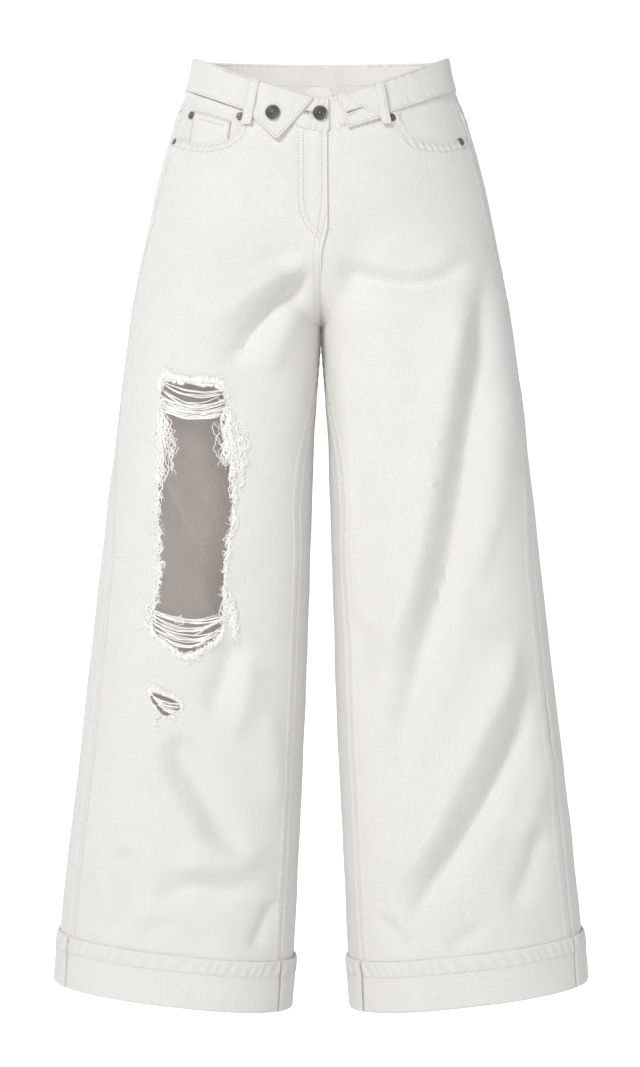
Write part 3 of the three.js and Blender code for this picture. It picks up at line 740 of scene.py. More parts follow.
def front_relief(panel, c, t, level, h):
    """Lift and shade of a front: seams at both sides, the fly lap, and the thinned rip edges."""
    side = panel.side
    width = panel.across(h)
    from_side = -from_side_seam(t, h)
    from_inseam = c * width
    x, z = form(t, h)[..., 0], form(t, h)[..., 2]
    below = smooth(CROTCH + 10, CROTCH - 20, h)
    lift = seam_relief(from_side, h, 0.6, SIDE_STITCH + 1)
    lift += below * seam_relief(from_inseam, h + 40, 0.5, 9)
    lift += stitch_groove(from_side - SIDE_STITCH)
    lift += (1 - below) * 0.25 * smooth(4, 0, from_inseam)
    lift += below * stitch_groove(from_inseam - STITCH_FROM_SEAM)
    if side < 0:
        lap = smooth(LAP_END, FLY_END, h)
        lift += FLY_LIFT * smooth(14, 4, x) * lap
        lift += 0.5 * smooth(1.5, 0, np.abs(from_inseam)) * lap
        for tear in (knee_tear, small_tear):
            d, _ = distance_to(closed(tear), side * x, z)
            lift += 0.7 * bump(d, 7) * np.sin(0.21 * z + 0.13 * x) + 0.5 * bump(d, 4)
    edge, _ = distance_to(rounded([(-x0, z0) for x0, z0 in SCOOP]), x, z)
    lift += 0.45 * smooth(11, 9, edge) - 0.25 * bump(edge - 2.2, 0.9) - 0.25 * bump(edge - 8.4, 0.9)
    pucker = np.sin(0.8 * x + 0.45 * z + 0.7 * np.sin(0.1 * x))
    lift += 0.5 * pucker * smooth(11.5, 8, edge)
    lift -= 0.5 * smooth(WAIST_SEAM - 3, WAIST_SEAM, level)
    # painted shade: the colour darkens at the seams, the stitch lines, the scoop's edge and in the pucker
    # troughs
    shade = 0.45 * bump(from_side, 0.9) + below * 0.5 * bump(from_inseam, 0.9)
    shade += 0.2 * below * bump(from_inseam - STITCH_FROM_SEAM, 0.9)
    shade += 0.25 * bump(from_side - SIDE_STITCH, 0.9)
    shade += 0.12 * bump(edge - 2.2, 0.8) + 0.2 * bump(edge - 8.4, 0.8) + 0.35 * bump(edge, 0.7)
    shade += 0.22 * smooth(0, -1, pucker) * smooth(2, 5, edge) * smooth(12, 8, edge)
    return lift, shade


def back_relief(panel, c, t, level, h):
    """Lift and shade of a back: the yoke seam on top, the seat seam and the leg's two seams."""
    width = panel.across(h)
    from_side = c * width
    from_inseam = (1 - c) * width
    lift = seam_relief(from_side, h + 3) + seam_relief(from_inseam, h + 20, 0.5, 9)
    from_yoke = YOKE_SEAM - level
    lift += seam_relief(from_yoke, from_side + 5, 0.4, 9) * smooth(60, 30, from_yoke)
    # painted shade at the side seam, the inseam and the yoke seam
    shade = 0.45 * bump(from_side, 0.9) + 0.4 * bump(from_inseam, 0.9) + 0.3 * bump(from_yoke, 0.9)
    return lift, shade


def yoke_relief(panel, c, t, level, h):
    width = panel.across(h)
    from_yoke = level - YOKE_SEAM
    lift = 0.45 * smooth(9.5, 8, from_yoke) * smooth(0.3, 1.2, from_yoke) - 0.5 * bump(from_yoke, 0.9)
    lift += roping(c * width, from_yoke, 2, 7, 0.3)
    lift -= 0.5 * (bump((1 - c) * width, 1.1) + bump(c * width, 1.1))
    lift -= 0.6 * smooth(WAIST_SEAM - 2, WAIST_SEAM, level)
    # painted shade at the yoke seam and the centre back seam
    shade = 0.3 * bump(from_yoke, 0.9) + 0.3 * bump((1 - c) * width, 0.9)
    return lift, shade


def scoop_loop(panel):
    """The pocket scoop as a loop of (c, h) that runs on outside the panel."""
    curve = rounded([(-x, z) for x, z in SCOOP], 8)
    places = flat_to_panel(panel, curve)
    inner_part = places[(places[:, 0] < 1) & (places[:, 1] < panel.top)]
    first, last = inner_part[0], inner_part[-1]
    return np.vstack([[first[0], panel.top + 6], inner_part, [1.03, last[1] + 1], [1.03, panel.top + 6]])


SCOOP_ROWS = (0.6, 1.5, 2.2, 2.9, 4.2, 5.8, 7.4, 8.4, 9.4, 10.6)


def build_panels():
    for side, word in ((-1, "right"), (1, "left")):
        panel = Panel(side, front_first(side), side_edge(-SEWN), WAIST_SEAM + TUCK, PANEL_END)
        holes = []
        if side < 0:
            for tear in (knee_tear, small_tear):
                holes.append(flat_to_panel(panel, tear * (-1, 1)))
        fronts[side] = panel
        curve = rounded([(-x, z) for x, z in SCOOP], 16)
        rows_along = [flat_to_panel(panel, offset_curve(curve, -distance)) for distance in SCOOP_ROWS]
        build_panel(f"front_{word}", panel, front_relief, 84, 3.3, holes, scoop_loop(panel), rows_along)
        lower = Panel(side, side_edge(SEWN), back_last, YOKE_SEAM - SEWN, PANEL_END, True)
        backs[side] = lower
        build_panel(f"back_{word}", lower, back_relief, 64, 4.2)
        upper = Panel(side, side_edge(SEWN), back_last, WAIST_SEAM + TUCK, YOKE_SEAM + SEWN, True)
        yokes[side] = upper
        build_panel(f"yoke_{word}", upper, yoke_relief, 60, 2.4)


fronts, backs, yokes = {}, {}, {}


# ---- Turned-up hems ----
CUFF_COLUMNS = 380
CUFF_STITCH = 17
cuff_lift = GAP + CUFF_WALL
around = float(arc_between(np.zeros(1), np.ones(1), np.array([HEM + 20.0]))[0])


def cuff_relief(t, h):
    """Roping above the stitch line and the seam allowances that show on the turned cloth."""
    below_top = CUFF_TOP - h
    from_side = (t - SIDE_SEAM) * around
    seam = inseam_at(h)
    from_inseam = (t - seam) * around
    lift = 0.35 * smooth(CUFF_STITCH + 0.6, CUFF_STITCH - 0.4, below_top)
    lift += -0.3 * bump(below_top - CUFF_STITCH, 0.9)
    run = t * around
    wave = np.sin(0.55 * run - below_top * 0.28 + 1.5 * np.sin(0.05 * run) + np.sin(0.13 * run))
    lift += 0.55 * wave * smooth(1, 5, below_top) * smooth(CUFF_STITCH + 3, CUFF_STITCH - 2, below_top)
    strip = smooth(-0.5, 0.7, from_side) * smooth(16.5, 14, from_side)
    strip = strip + smooth(0.5, -0.7, from_inseam) * smooth(-16.5, -14, from_inseam)
    lift += 1.5 * strip - 1.5 * bump(from_side + 0.6, 0.9) - 1.5 * bump(from_inseam - 0.6, 0.9)
    sway = np.sin(2 * math.pi * 3 * t) + 0.5 * np.sin(2 * math.pi * 7 * t + 1)
    lift += 0.8 * sway * smooth(HEM, CUFF_TOP, h) + ripple(t * around, 0 * t, h)
    # painted shade: the colour darkens at the seams, along the stitch line and in the pucker troughs
    shade = 1.5 * bump(from_side + 0.5, 1.0) + 1.5 * bump(from_inseam - 0.5, 1.0)
    shade += 0.45 * bump(below_top - CUFF_STITCH, 0.9)
    between_lines = smooth(1, 5, below_top) * smooth(CUFF_STITCH, CUFF_STITCH - 3, below_top)
    shade += 0.24 * smooth(0, -1, wave) * between_lines
    return lift, shade


def cuff_spots():
    """Places round a hem from its inseam, closest together at its two seams."""
    even = np.arange(CUFF_COLUMNS) / CUFF_COLUMNS
    close = np.linspace(-3.5, 3.5, 15) / around
    seams = (0.0, 1.0, SIDE_SEAM - INSEAM_SHIFT)
    far = np.min([np.abs(even - seam) for seam in seams], axis=0) > 4.4 / around
    spots = np.concatenate([even[far], *[seam + close for seam in seams]])
    return np.sort(spots[(spots >= 0) & (spots < 1 - 1e-9)])


def build_cuff(side, word):
    """A ring whose section goes up the outside, over the folded top, down inside and under."""
    section = [(cuff_lift, h) for h in np.linspace(HEM + 3, CUFF_TOP - 1.6, 26)]
    section += [(cuff_lift - 0.35, CUFF_TOP - 0.5), (cuff_lift - 1.0, CUFF_TOP), (GAP + 0.8, CUFF_TOP)]
    section += [(GAP + 0.2, CUFF_TOP - 0.6), (GAP, CUFF_TOP - 2)]
    section += [(GAP, h) for h in np.linspace(CUFF_TOP - 8, HEM + 6, 6)]
    section += [(GAP, HEM + 2.4), (-CLOTH, HEM + 2.4), (-CLOTH - 0.3, HEM + 1.4)]
    section += [(-CLOTH, HEM + 0.4), (-0.4, HEM), (cuff_lift - 1.6, HEM), (cuff_lift - 0.5, HEM + 0.6)]
    section += [(cuff_lift, HEM + 1.7)]
    lifts, heights = np.array(section).T
    spots = cuff_spots()
    columns = len(spots)
    h, c = np.meshgrid(heights, spots)
    base = np.meshgrid(lifts, spots)[0]
    t = c + inseam_at(h)
    face = smooth(cuff_lift - 1.2, cuff_lift - 0.2, base)
    relief, shade = cuff_relief(np.where(t > 0.75, t - 1, t), h)
    points = cloth(side, t, h, base + relief * face)
    count = len(section)
    here, place = np.arange(columns)[:, None], np.arange(count)[None]
    beside, above = (here + 1) % columns, (place + 1) % count
    a, right = (here * count + place).ravel(), (beside * count + place).ravel()
    up, both = (here * count + above).ravel(), (beside * count + above).ravel()
    faces = np.stack([a, right, both, up] if side < 0 else [a, up, both, right], 1)
    uv = np.stack([t * around * side, -h], -1).reshape(-1, 2)
    thing = make_object(f"turnup_{word}_cloth", points.reshape(-1, 3), faces, [denim], uv,
                        (shade * face).ravel())
    settle(thing, [f"turnup_{word}"])


# ---- Slabs: pieces with rounded edges, from an outline on a flat map of the cloth ----
def offset_ring(outline, distance):
    p = np.asarray(outline, float)
    after = np.roll(p, -1, axis=0) - np.roll(p, 1, axis=0)
    normal = np.stack([-after[:, 1], after[:, 0]], 1) / np.linalg.norm(after, axis=1, keepdims=True)
    return p + normal * distance * (1 if signed_area(p) > 0 else -1)


def signed_area(p):
    q = np.roll(p, -1, axis=0)
    return float((p[:, 0] * q[:, 1] - q[:, 0] * p[:, 1]).sum() / 2)


def slab_mesh(rim, holes, step, roll):
    """The flat mesh of a piece's map: two rows of points along every edge, and a grid further in."""
    rows = [offset_ring(rim, 0.3 * roll), offset_ring(rim, roll)]
    for hole in holes:
        rows += [offset_ring(hole, -0.3 * roll), offset_ring(hole, -roll)]
    low, high = rim.min(0), rim.max(0)
    a, b = np.meshgrid(np.arange(low[0], high[0], step), np.arange(low[1], high[1], step))
    fill = np.vstack([*rows, np.stack([a.ravel(), b.ravel()], 1)])
    grid = np.arange(len(fill)) >= sum(len(row) for row in rows)
    clearance = np.where(grid, 1.5, 0.2) * roll

    def keep(x, y):
        wanted = inside(rim, x, y)
        for hole in holes:
            wanted &= ~inside(hole, x, y)
        return wanted

    good = keep(fill[:, 0], fill[:, 1])
    rings = [rim, *holes]
    for ring in rings:
        gap, _ = distance_to(closed(ring), fill[:, 0], fill[:, 1])
        good &= gap > clearance
    return triangulate(np.vstack([*rings, fill[good]]), [len(ring) for ring in rings], keep)


def build_slab(node, side, outline, to_place, face, wall, **options):
    """A flat piece of cloth with rolled edges.

    outline is a closed loop on a map (a, b) in millimetres, to_place turns map points into (t, h),
    and face is its lift. options may hold step, roll, holes, relief(a, b, edge), materials, held,
    rests_on, stitched, edge_shade and rolled_rim, the loop whose edges are rolled. held and rests_on are
    not used.
    """
    step, roll = options.get("step", 2.0), options.get("roll", 0.9)
    holes = [np.asarray(hole, float) for hole in options.get("holes", ())]
    rim = stepped(outline, step, True)
    flat, faces = slab_mesh(rim, holes, step, roll)
    edge, _ = distance_to(closed(options.get("rolled_rim", rim)), flat[:, 0], flat[:, 1])
    nearest = edge
    for hole in holes:
        nearest = np.minimum(nearest, distance_to(closed(hole), flat[:, 0], flat[:, 1])[0])
    fall = 1 - np.clip(nearest / roll, 0, 1)
    round_off = 0.5 * wall * 0.85 * (1 - np.sqrt(np.maximum(1 - fall * fall, 0)))
    relief = options["relief"](flat[:, 0], flat[:, 1], nearest) if "relief" in options else 0
    t, h = to_place(flat[:, 0], flat[:, 1])
    lift = face(t, h) if callable(face) else face
    lift = lift + relief
    outside = cloth(side, t, h, lift - round_off)
    within = cloth(side, t, h, lift - wall + round_off)
    normal_way = np.cross(outside[faces[:, 1]] - outside[faces[:, 0]],
                          outside[faces[:, 2]] - outside[faces[:, 0]])
    if ((outside - within)[faces[:, 0]] * normal_way).sum() < 0:
        faces = faces[:, ::-1]
    points, skin, inner_count = thicken(outside, within, faces)
    # painted shade along the rolled edge and at the stitch lines
    shade = options.get("edge_shade", 0.3) * bump(edge, 0.8)
    for distance in options.get("stitched", ()):
        shade += 0.16 * bump(nearest - distance, 0.9)
    materials = options.get("materials", [denim, denim_inside_shaded_glowing])
    thing = make_object(f"{node}_cloth", points, skin, materials, np.vstack([flat, flat]),
                        np.concatenate([shade, shade]), inner_count)
    settle(thing, [node])


def map_back(x, z):
    return place_at(x, z, True)


# ---- Waistband: its map is (distance round, h) ----
BAND_SPOTS = np.linspace(-0.12, 1.001, 400)


def band_map():
    """Distance round the band from the centre front, for a run of t."""
    line = form(BAND_SPOTS, np.zeros(BAND_SPOTS.shape))
    run = np.concatenate([[0], np.cumsum(np.linalg.norm(np.diff(line, axis=0), axis=1))])
    return run - np.interp(0.0, BAND_SPOTS, run)


BAND_RUN = band_map()


def band_place(a, b):
    return np.interp(a, BAND_RUN, BAND_SPOTS), b


def band_relief(a, b, edge):
    groove = stitch_groove(edge - 2.4)
    wave = np.sin(0.55 * a + 0.3 * b + 2.1 * np.sin(0.083 * a) + np.sin(0.19 * a))
    strength = 0.55 + 0.45 * np.sin(0.061 * a + 1.2)
    pucker = 0.5 * strength * wave * smooth(15, 3, edge)
    return groove + pucker + 0.3 * np.sin(0.043 * a + 0.9) + 1.2 * ripple(a, a * 0, b)


def slot_outline(centre, half_length, half_width, angle, eye=0.0):
    """A buttonhole: a narrow slot with round ends, and an eyelet at its first end."""
    turn = np.linspace(math.pi / 2, 3 * math.pi / 2, 9)
    eyelet = half_width + eye
    left = np.stack([-half_length + eyelet * np.cos(turn), eyelet * np.sin(turn)], 1)
    right = np.stack([half_length - half_width * np.cos(turn), -half_width * np.sin(turn)], 1)
    loop = np.vstack([left, right])
    ca, sa = math.cos(angle), math.sin(angle)
    return loop @ np.array([[ca, sa], [-sa, ca]]) + np.array(centre)


BAND_SLOT = ((7.7, 0.0), 9.2, 2.0, math.pi, -0.2)  # centre, half sizes, angle, eyelet


def build_bands():
    half = BAND_HALF - 0.05
    for side, word in ((-1, "right"), (1, "left")):
        start = -FLY_WIDTH if side < 0 else -UNDERLAP
        corner = 3.5
        turn = np.linspace(0, math.pi / 2, 6)
        front_end = np.stack([start + corner - corner * np.cos(turn),
                              half - corner + corner * np.sin(turn)], 1)
        last = np.interp(1.0, BAND_SPOTS, BAND_RUN) + 0.1
        outline = np.vstack([[(start, -half)], front_end, [(last, half), (last, -half)]])
        rolled_rim = np.vstack([outline[:-2], [(last + 20, half), (last + 20, -half)]])

        def face(t, h, side=side):
            step_back = (BAND_WALL + GAP) * smooth(30, 14, form(t, h)[..., 0]) if side > 0 else 0
            return BAND_LIFT - step_back

        holes = [slot_outline(*BAND_SLOT)] if side < 0 else []
        build_slab(f"waistband_{word}", side, outline, band_place, face, BAND_WALL, relief=band_relief,
                   holes=holes, step=1.6, roll=1.0, held="hung", materials=[denim, glowing_band_inside],
                   stitched=(2.4,), rolled_rim=rolled_rim)


# ---- Pieces laid on or under the panels; their outlines are (x, z) with x > 0 ----
COIN_POCKET = [(98.5, -65), (141, -48), (146, -84), (143, -97), (103, -97)]
FLY_SHIELD = [(-16, -36), (-12.5, -30), (-8, -28.5), (6, -29), (11, -32), (13.5, -38), (13.5, -188),
              (-13, -188)]
TAB_RIGHT = [(8, -43.2), (73, -21), (79, -58), (75.6, -61.2), (50.8, -87.2), (47.7, -88.6), (45, -87.3)]
TAB_LEFT = [(17.5, -40.5), (62, -26.5), (70, -62.5), (31.5, -75.4), (29, -75.8), (27.4, -73.6)]
BACK_POCKET = [(34, -134), (146, -120), (139, -226), (88, -262), (42, -246)]
SLOT = ((37.6, -55.9), 9.4, 0.35, math.radians(20.5), 0.8)  # centre, half sizes, angle, eyelet

TAB_CREASES = [([(60, -30), (52, -48), (47, -66)], 5, 1.1), ([(68, -34), (66, -52), (56, -74)], 5, -1.0),
               ([(28, -40), (38, -56), (46, -70)], 6, 0.9)]


TAB_STITCH = 2.6
COIN_STITCHES = (2.0, 7.6)


def tab_right_relief(a, b, edge):
    """Creases under the folded end, whose tip stands off the cloth."""
    tip = smooth(-62, -88, b)
    return fold_height(a, b, TAB_CREASES) + stitch_groove(edge - TAB_STITCH) + 2.6 * tip * tip


def tab_left_relief(a, b, edge):
    end = smooth(36, 26, a)
    return stitch_groove(edge - TAB_STITCH) + 0.5 * np.sin(0.16 * a + 0.2 * b) + 0.9 * end * end


def pocket_relief(a, b, edge):
    hem = smooth(-138, -136, b + 0.125 * (a - 34))
    pucker = 0.18 * np.sin(0.5 * a + 0.4 * b) * smooth(9, 3, edge)
    return stitch_groove(edge - 2.2) + stitch_groove(edge - 8.4) + 0.35 * hem + pucker


def coin_top(a):
    """Height of the coin pocket's slanting top."""
    (x0, z0), (x1, z1) = COIN_POCKET[:2]
    return z0 + (z1 - z0) * (a - x0) / (x1 - x0)


def coin_relief(a, b, edge):
    """A raised hem along the coin pocket's slanting top."""
    hem = smooth(9.2, 8.2, coin_top(a) - b)
    pucker = 0.25 * np.sin(0.9 * a + 0.4 * b) * hem
    return stitch_groove(edge - 2.0) + 0.55 * hem + pucker


def loop_relief(a, b, edge):
    """A belt loop's raised middle between its two rows of stitches."""
    return stitch_groove(edge - 1.9) + 0.3 * smooth(2.2, 3.4, edge) + 0.1 * np.sin(0.9 * b)


LOOP_FOOT = GAP + LOOP_WALL + 0.6  # how high a belt loop's foot lies on the panels
OVER_BAND = BAND_LIFT + GAP + LOOP_WALL
OVER_TAB = TAB_LIFT + GAP + LOOP_WALL

# Belt loops: node, side, top and bottom as (x, z), and how high they pass over what they hold.
LOOPS = [("loop_front_right", -1, (71, -21), (80.5, -71.3), OVER_TAB),
         ("loop_front_left", 1, (61.7, -24.5), (70.4, -71.5), OVER_TAB),
         ("loop_back_right", -1, (84, 25), (86, -28), OVER_BAND),
         ("loop_back_left", 1, (84, 25), (86, -28), OVER_BAND)]
LOOP_STEP = -30  # where a loop comes down from the band, or starts to come down from a belt end


def strap_lift(over, level_to, low_from):
    return lambda t, h: mix(LOOP_FOOT, over, smooth(low_from, level_to, h))


FACING_START, FACING_END = 0.42, 0.997  # the part of the front's width that a facing lies behind
FACING_BOTTOM = -83.5


def build_facing(side, word):
    """The facing's map is (c, level) of the front panel, stretched to millimetres."""
    panel = fronts[side]
    width = float(panel.across(np.array([-50.0]))[0])
    top = WAIST_SEAM - GAP / 2
    start, end = FACING_START * width, FACING_END * width
    outline = [(start, top), (end, top), (end, FACING_BOTTOM), (start, FACING_BOTTOM)]

    def place(u, v):
        return panel.t(u / width, v), v

    def lift(t, h):
        """Level with the back where the side seam takes the facing in."""
        c = (t - panel.first(h)) / (panel.last(h) - panel.first(h))
        return mix(facing_levels[side], -0.3, smooth(0.9, 0.985, c) * smooth(-80, -72, h))

    build_slab(f"facing_{word}", side, outline, place, lift, INNER_WALL, step=2.2, roll=0.4,
               rests_on=[f"back_{word}_cloth"], materials=[denim, denim])


def build_patches():
    for side, word in ((-1, "right"), (1, "left")):
        build_facing(side, word)
        build_slab(f"back_pocket_{word}", side, BACK_POCKET, map_back, GAP + CLOTH, CLOTH,
                   relief=pocket_relief, rests_on=[f"back_{word}_cloth"], step=2.4, roll=0.6,
                   stitched=(2.2, 8.4))
    build_slab("coin_pocket", -1, COIN_POCKET, place_at, COIN_LIFT, INNER_WALL, relief=coin_relief,
               rests_on=["facing_right_cloth"], step=1.4, roll=0.5, materials=[denim, denim],
               stitched=COIN_STITCHES, edge_shade=1.8)
    build_slab("fly_shield", 1, FLY_SHIELD, place_at, SHIELD_LIFT, SHIELD_WALL, step=2.4, roll=0.7,
               rests_on=["front_left_cloth"], materials=[denim, denim])
    build_slab("tab_right", -1, TAB_RIGHT, place_at, TAB_LIFT, BAND_WALL, relief=tab_right_relief,
               rests_on=["waistband_right_cloth"], step=1.3, stitched=(TAB_STITCH,))
    build_slab("tab_left", 1, TAB_LEFT, place_at, TAB_LIFT, BAND_WALL, relief=tab_left_relief,
               holes=[slot_outline(*SLOT)], rests_on=["waistband_left_cloth"], step=1.3,
               stitched=(TAB_STITCH,))
    for node, side, top, bottom, over in LOOPS:
        behind = over == OVER_BAND
        outline = [(top[0] - LOOP_HALF, top[1]), (top[0] + LOOP_HALF, top[1]),
                   (bottom[0] + LOOP_HALF, bottom[1]), (bottom[0] - LOOP_HALF, bottom[1])]
        ends = (WAIST_SEAM, LOOP_STEP) if behind else (LOOP_STEP, YOKE_SEAM)
        word = "right" if side < 0 else "left"
        build_slab(node, side, outline, map_back if behind else place_at, strap_lift(over, *ends),
                   LOOP_WALL, relief=loop_relief, step=1.1, roll=0.6, stitched=(1.9,),
                   rests_on=[f"waistband_{word}_cloth"])
    build_centre_loop()


def build_centre_loop():
    """The loop over the centre back, which crosses both halves."""
    across = np.linspace(-LOOP_HALF, LOOP_HALF, 13)
    levels = np.linspace(BAND_HALF, LOOP_STEP, 44)
    lift = strap_lift(OVER_BAND, WAIST_SEAM, LOOP_STEP)
    edge = LOOP_HALF - np.abs(across)
    round_off = 0.6 * (1 - np.sqrt(1 - (1 - np.clip(edge / 0.9, 0, 1)) ** 2))
    shape = stitch_groove(edge - 1.9) + 0.3 * smooth(2.2, 3.4, edge)
    outside, within = [], []
    for a, rolled, extra in zip(across, round_off, shape):
        t = nudged(np.ones(levels.shape), levels, -abs(a))
        h = levels - yoke_drop(np.ones(levels.shape), levels) * 0.25
        turned = math.copysign(1, a) if a else 1
        face = cloth(turned, t, h, lift(t, h) + extra - rolled)
        back_face = cloth(turned, t, h, lift(t, h) - LOOP_WALL + rolled)
        face[:, 0] = back_face[:, 0] = a
        outside.append(face)
        within.append(back_face)
    rows, columns = len(levels), len(across)
    c, r = np.meshgrid(np.arange(columns - 1), np.arange(rows - 1))
    corner = (c * rows + r).ravel()
    faces = np.vstack([np.stack([corner, corner + rows, corner + rows + 1], 1),
                       np.stack([corner, corner + rows + 1, corner + 1], 1)])
    outside, within = np.vstack(outside), np.vstack(within)
    uv = np.stack([np.repeat(across, rows), np.tile(levels, columns)], 1)
    points, skin, inner_count = thicken(outside, within, faces[:, ::-1])
    thing = make_object("loop_back_centre_cloth", points, skin, [denim, denim_inside_shaded_glowing],
                        np.vstack([uv, uv]), np.zeros(len(points)), inner_count)
    settle(thing, ["loop_back_centre"])


# ---- Threads: many thin tubes in one mesh ----
SIDES = 4


def tubes(paths, radius):
    """Points and quads of closed tubes along paths of shape (n, k, 3); radius is (n, k) or (n, 1)."""
    n, k = paths.shape[:2]
    tangent = np.gradient(paths, axis=1)
    tangent /= np.maximum(np.linalg.norm(tangent, axis=2, keepdims=True), 1e-9)
    u = np.cross(tangent, np.array([0.25, 0.93, 0.27]))
    u /= np.maximum(np.linalg.norm(u, axis=2, keepdims=True), 1e-9)
    v = np.cross(tangent, u)
    angle = 2 * np.pi * np.arange(SIDES) / SIDES
    r = np.broadcast_to(radius, (n, k))[..., None, None]
    ring = (u[:, :, None] * np.cos(angle)[None, None, :, None]
            + v[:, :, None] * np.sin(angle)[None, None, :, None])
    points = (paths[:, :, None] + r * ring).reshape(-1, 3)
    base = np.arange(n)[:, None, None] * k * SIDES + np.arange(k - 1)[None, :, None] * SIDES
    i = np.arange(SIDES)[None, None]
    j = (i + 1) % SIDES
    walls = np.stack([base + i, base + j, base + SIDES + j, base + SIDES + i], -1).reshape(-1, 4)
    first = np.arange(n)[:, None] * k * SIDES
    last = first + (k - 1) * SIDES
    return points, np.vstack([walls, first + np.array([[0, 3, 2, 1]]), last + np.array([[0, 1, 2, 3]])])


class Threads:
    """Collects tubes and makes one object of them."""

    def __init__(self, name, material):
        self.name, self.material = name, material
        self.points, self.faces, self.count = [], [], 0

    def add(self, paths, radius):
        points, faces = tubes(np.asarray(paths, float), radius)
        self.points.append(points)
        self.faces.append(faces + self.count)
        self.count += len(points)

    def make(self):
        thing = make_object(self.name, np.vstack(self.points), np.vstack(self.faces), [self.material],
                            crisp=False)
        settle(thing, [])


STITCH_PITCH = 3.2
STITCH_LENGTH = 2.45
STITCH_RADIUS = 0.44
INNER_STITCH = 24  # the row seen inside the back of the waistband, from its top edge


def sew(threads, path, normal):
    """A row of stitches along a path, each one dipping into the cloth at its ends."""
    run = np.concatenate([[0], np.cumsum(np.linalg.norm(np.diff(path, axis=0), axis=1))])
    count = int(run[-1] / STITCH_PITCH)
    centres = (np.arange(count) + 0.5) * (run[-1] / count)
    at = centres[:, None] + np.linspace(-0.5, 0.5, 5)[None] * STITCH_LENGTH
    place = np.stack([np.interp(at, run, path[:, i]) for i in range(3)], -1)
    up = np.stack([np.interp(at, run, normal[:, i]) for i in range(3)], -1)
    arch = np.array([-0.45, 0.06, 0.2, 0.06, -0.45])
    place = place + up * arch[None, :, None]
    threads.add(place, np.array([[0.62, 1, 1.06, 1, 0.62]]) * STITCH_RADIUS)


def on_cloth(side, t, h, lift):
    """Points and outward directions along a run of places."""
    path = cloth(side, t, h, lift)
    normal = outward(t, h)
    normal[..., 0] *= side
    return path, normal


def sew_panel(threads, panel, relief, c, level):
    """Stitches on a panel along places (c, level)."""
    t = panel.t(c, level)
    h = panel.levels(c, level)
    lift, _ = relief(panel, c, t, level, h)
    sew(threads, *on_cloth(panel.side, t, h, lift))


def sew_map(threads, side, line, to_place, lift, way=1):
    """Stitches along a line on a piece's map; way is -1 on its inner face."""
    points = stepped(line, 1.5)
    t, h = to_place(points[:, 0], points[:, 1])
    face = lift(t, h) if callable(lift) else lift
    path, normal = on_cloth(side, t, h, face)
    sew(threads, path, way * normal)


def inset_line(outline, distance, start, end):
    """Part of an outline's edge moved inwards, from corner start to corner end."""
    p = np.array(outline, float)
    turn = 1 if signed_area(p) > 0 else -1
    corners = []
    for before, here, after in zip(np.roll(p, 1, axis=0), p, np.roll(p, -1, axis=0)):
        n1, n2 = (np.array([-way[1], way[0]]) / np.linalg.norm(way) * turn
                  for way in (here - before, after - here))
        corners.append(here + (n1 + n2) / max(1 + float(n1 @ n2), 0.4) * distance)
    return [tuple(corners[i % len(p)]) for i in range(start, end + 1)]


FLY_CURVE = [(25, -78), (25, -125), (24.5, -155), (21.5, -172), (15, -184), (6, -193), (0.5, -197)]


EDGE_STITCH = 2.4
POCKET_STITCHES = (2.2, 8.4)


def sew_leg(threads, side):
    """The rows on one half: inseam, side seam, seat, yoke and pocket scoop."""
    front_panel, back_panel, yoke_panel = fronts[side], backs[side], yokes[side]
    rows = np.arange(CROTCH - 4, CUFF_TOP + 1, -4.0)
    sew_panel(threads, front_panel, front_relief, STITCH_FROM_SEAM / front_panel.across(rows), rows)
    rows = np.arange(-92, CUFF_TOP + 1, -4.0)
    sew_panel(threads, front_panel, front_relief, 1 - SIDE_STITCH / front_panel.across(rows), rows)
    seat = np.arange(-88.0, CROTCH + 8, -4.0)
    for inset in (EDGE_STITCH, 8.2) if side < 0 else ():
        sew_panel(threads, back_panel, back_relief, 1 - inset / back_panel.across(seat), seat)
    spread = np.linspace(0.01, 0.99, 90)
    for drop in (2.0, 7.6):
        sew_panel(threads, yoke_panel, yoke_relief, spread, np.full(spread.shape, YOKE_SEAM + drop))
    curve = rounded([(-x, z) for x, z in SCOOP], 8)
    for inset in POCKET_STITCHES:
        places = flat_to_panel(front_panel, offset_curve(curve, -inset))
        good = (places[:, 0] < 0.995) & (places[:, 1] < front_panel.top - 1)
        sew_panel(threads, front_panel, front_relief, places[good, 0], places[good, 1])


def sew_band_and_hem(threads, side):
    end = BAND_RUN[-1] - 1
    start = -6 if side < 0 else 20
    for v in (BAND_HALF - EDGE_STITCH, EDGE_STITCH - BAND_HALF):
        sew_map(threads, side, [(start, v), (end, v)], band_place, BAND_LIFT - 0.28)
    for v in (BAND_HALF - EDGE_STITCH, BAND_HALF - INNER_STITCH):
        sew_map(threads, side, [(60, v), (end, v)], band_place, BAND_LIFT - BAND_WALL + 0.1, way=-1)
    spots = np.linspace(0, 1, 420)
    level = np.full(spots.shape, float(CUFF_TOP - CUFF_STITCH))
    t = spots + inseam_at(level)
    relief, _ = cuff_relief(np.where(t > 0.75, t - 1, t), level)
    sew(threads, *on_cloth(side, t, level, cuff_lift + relief))


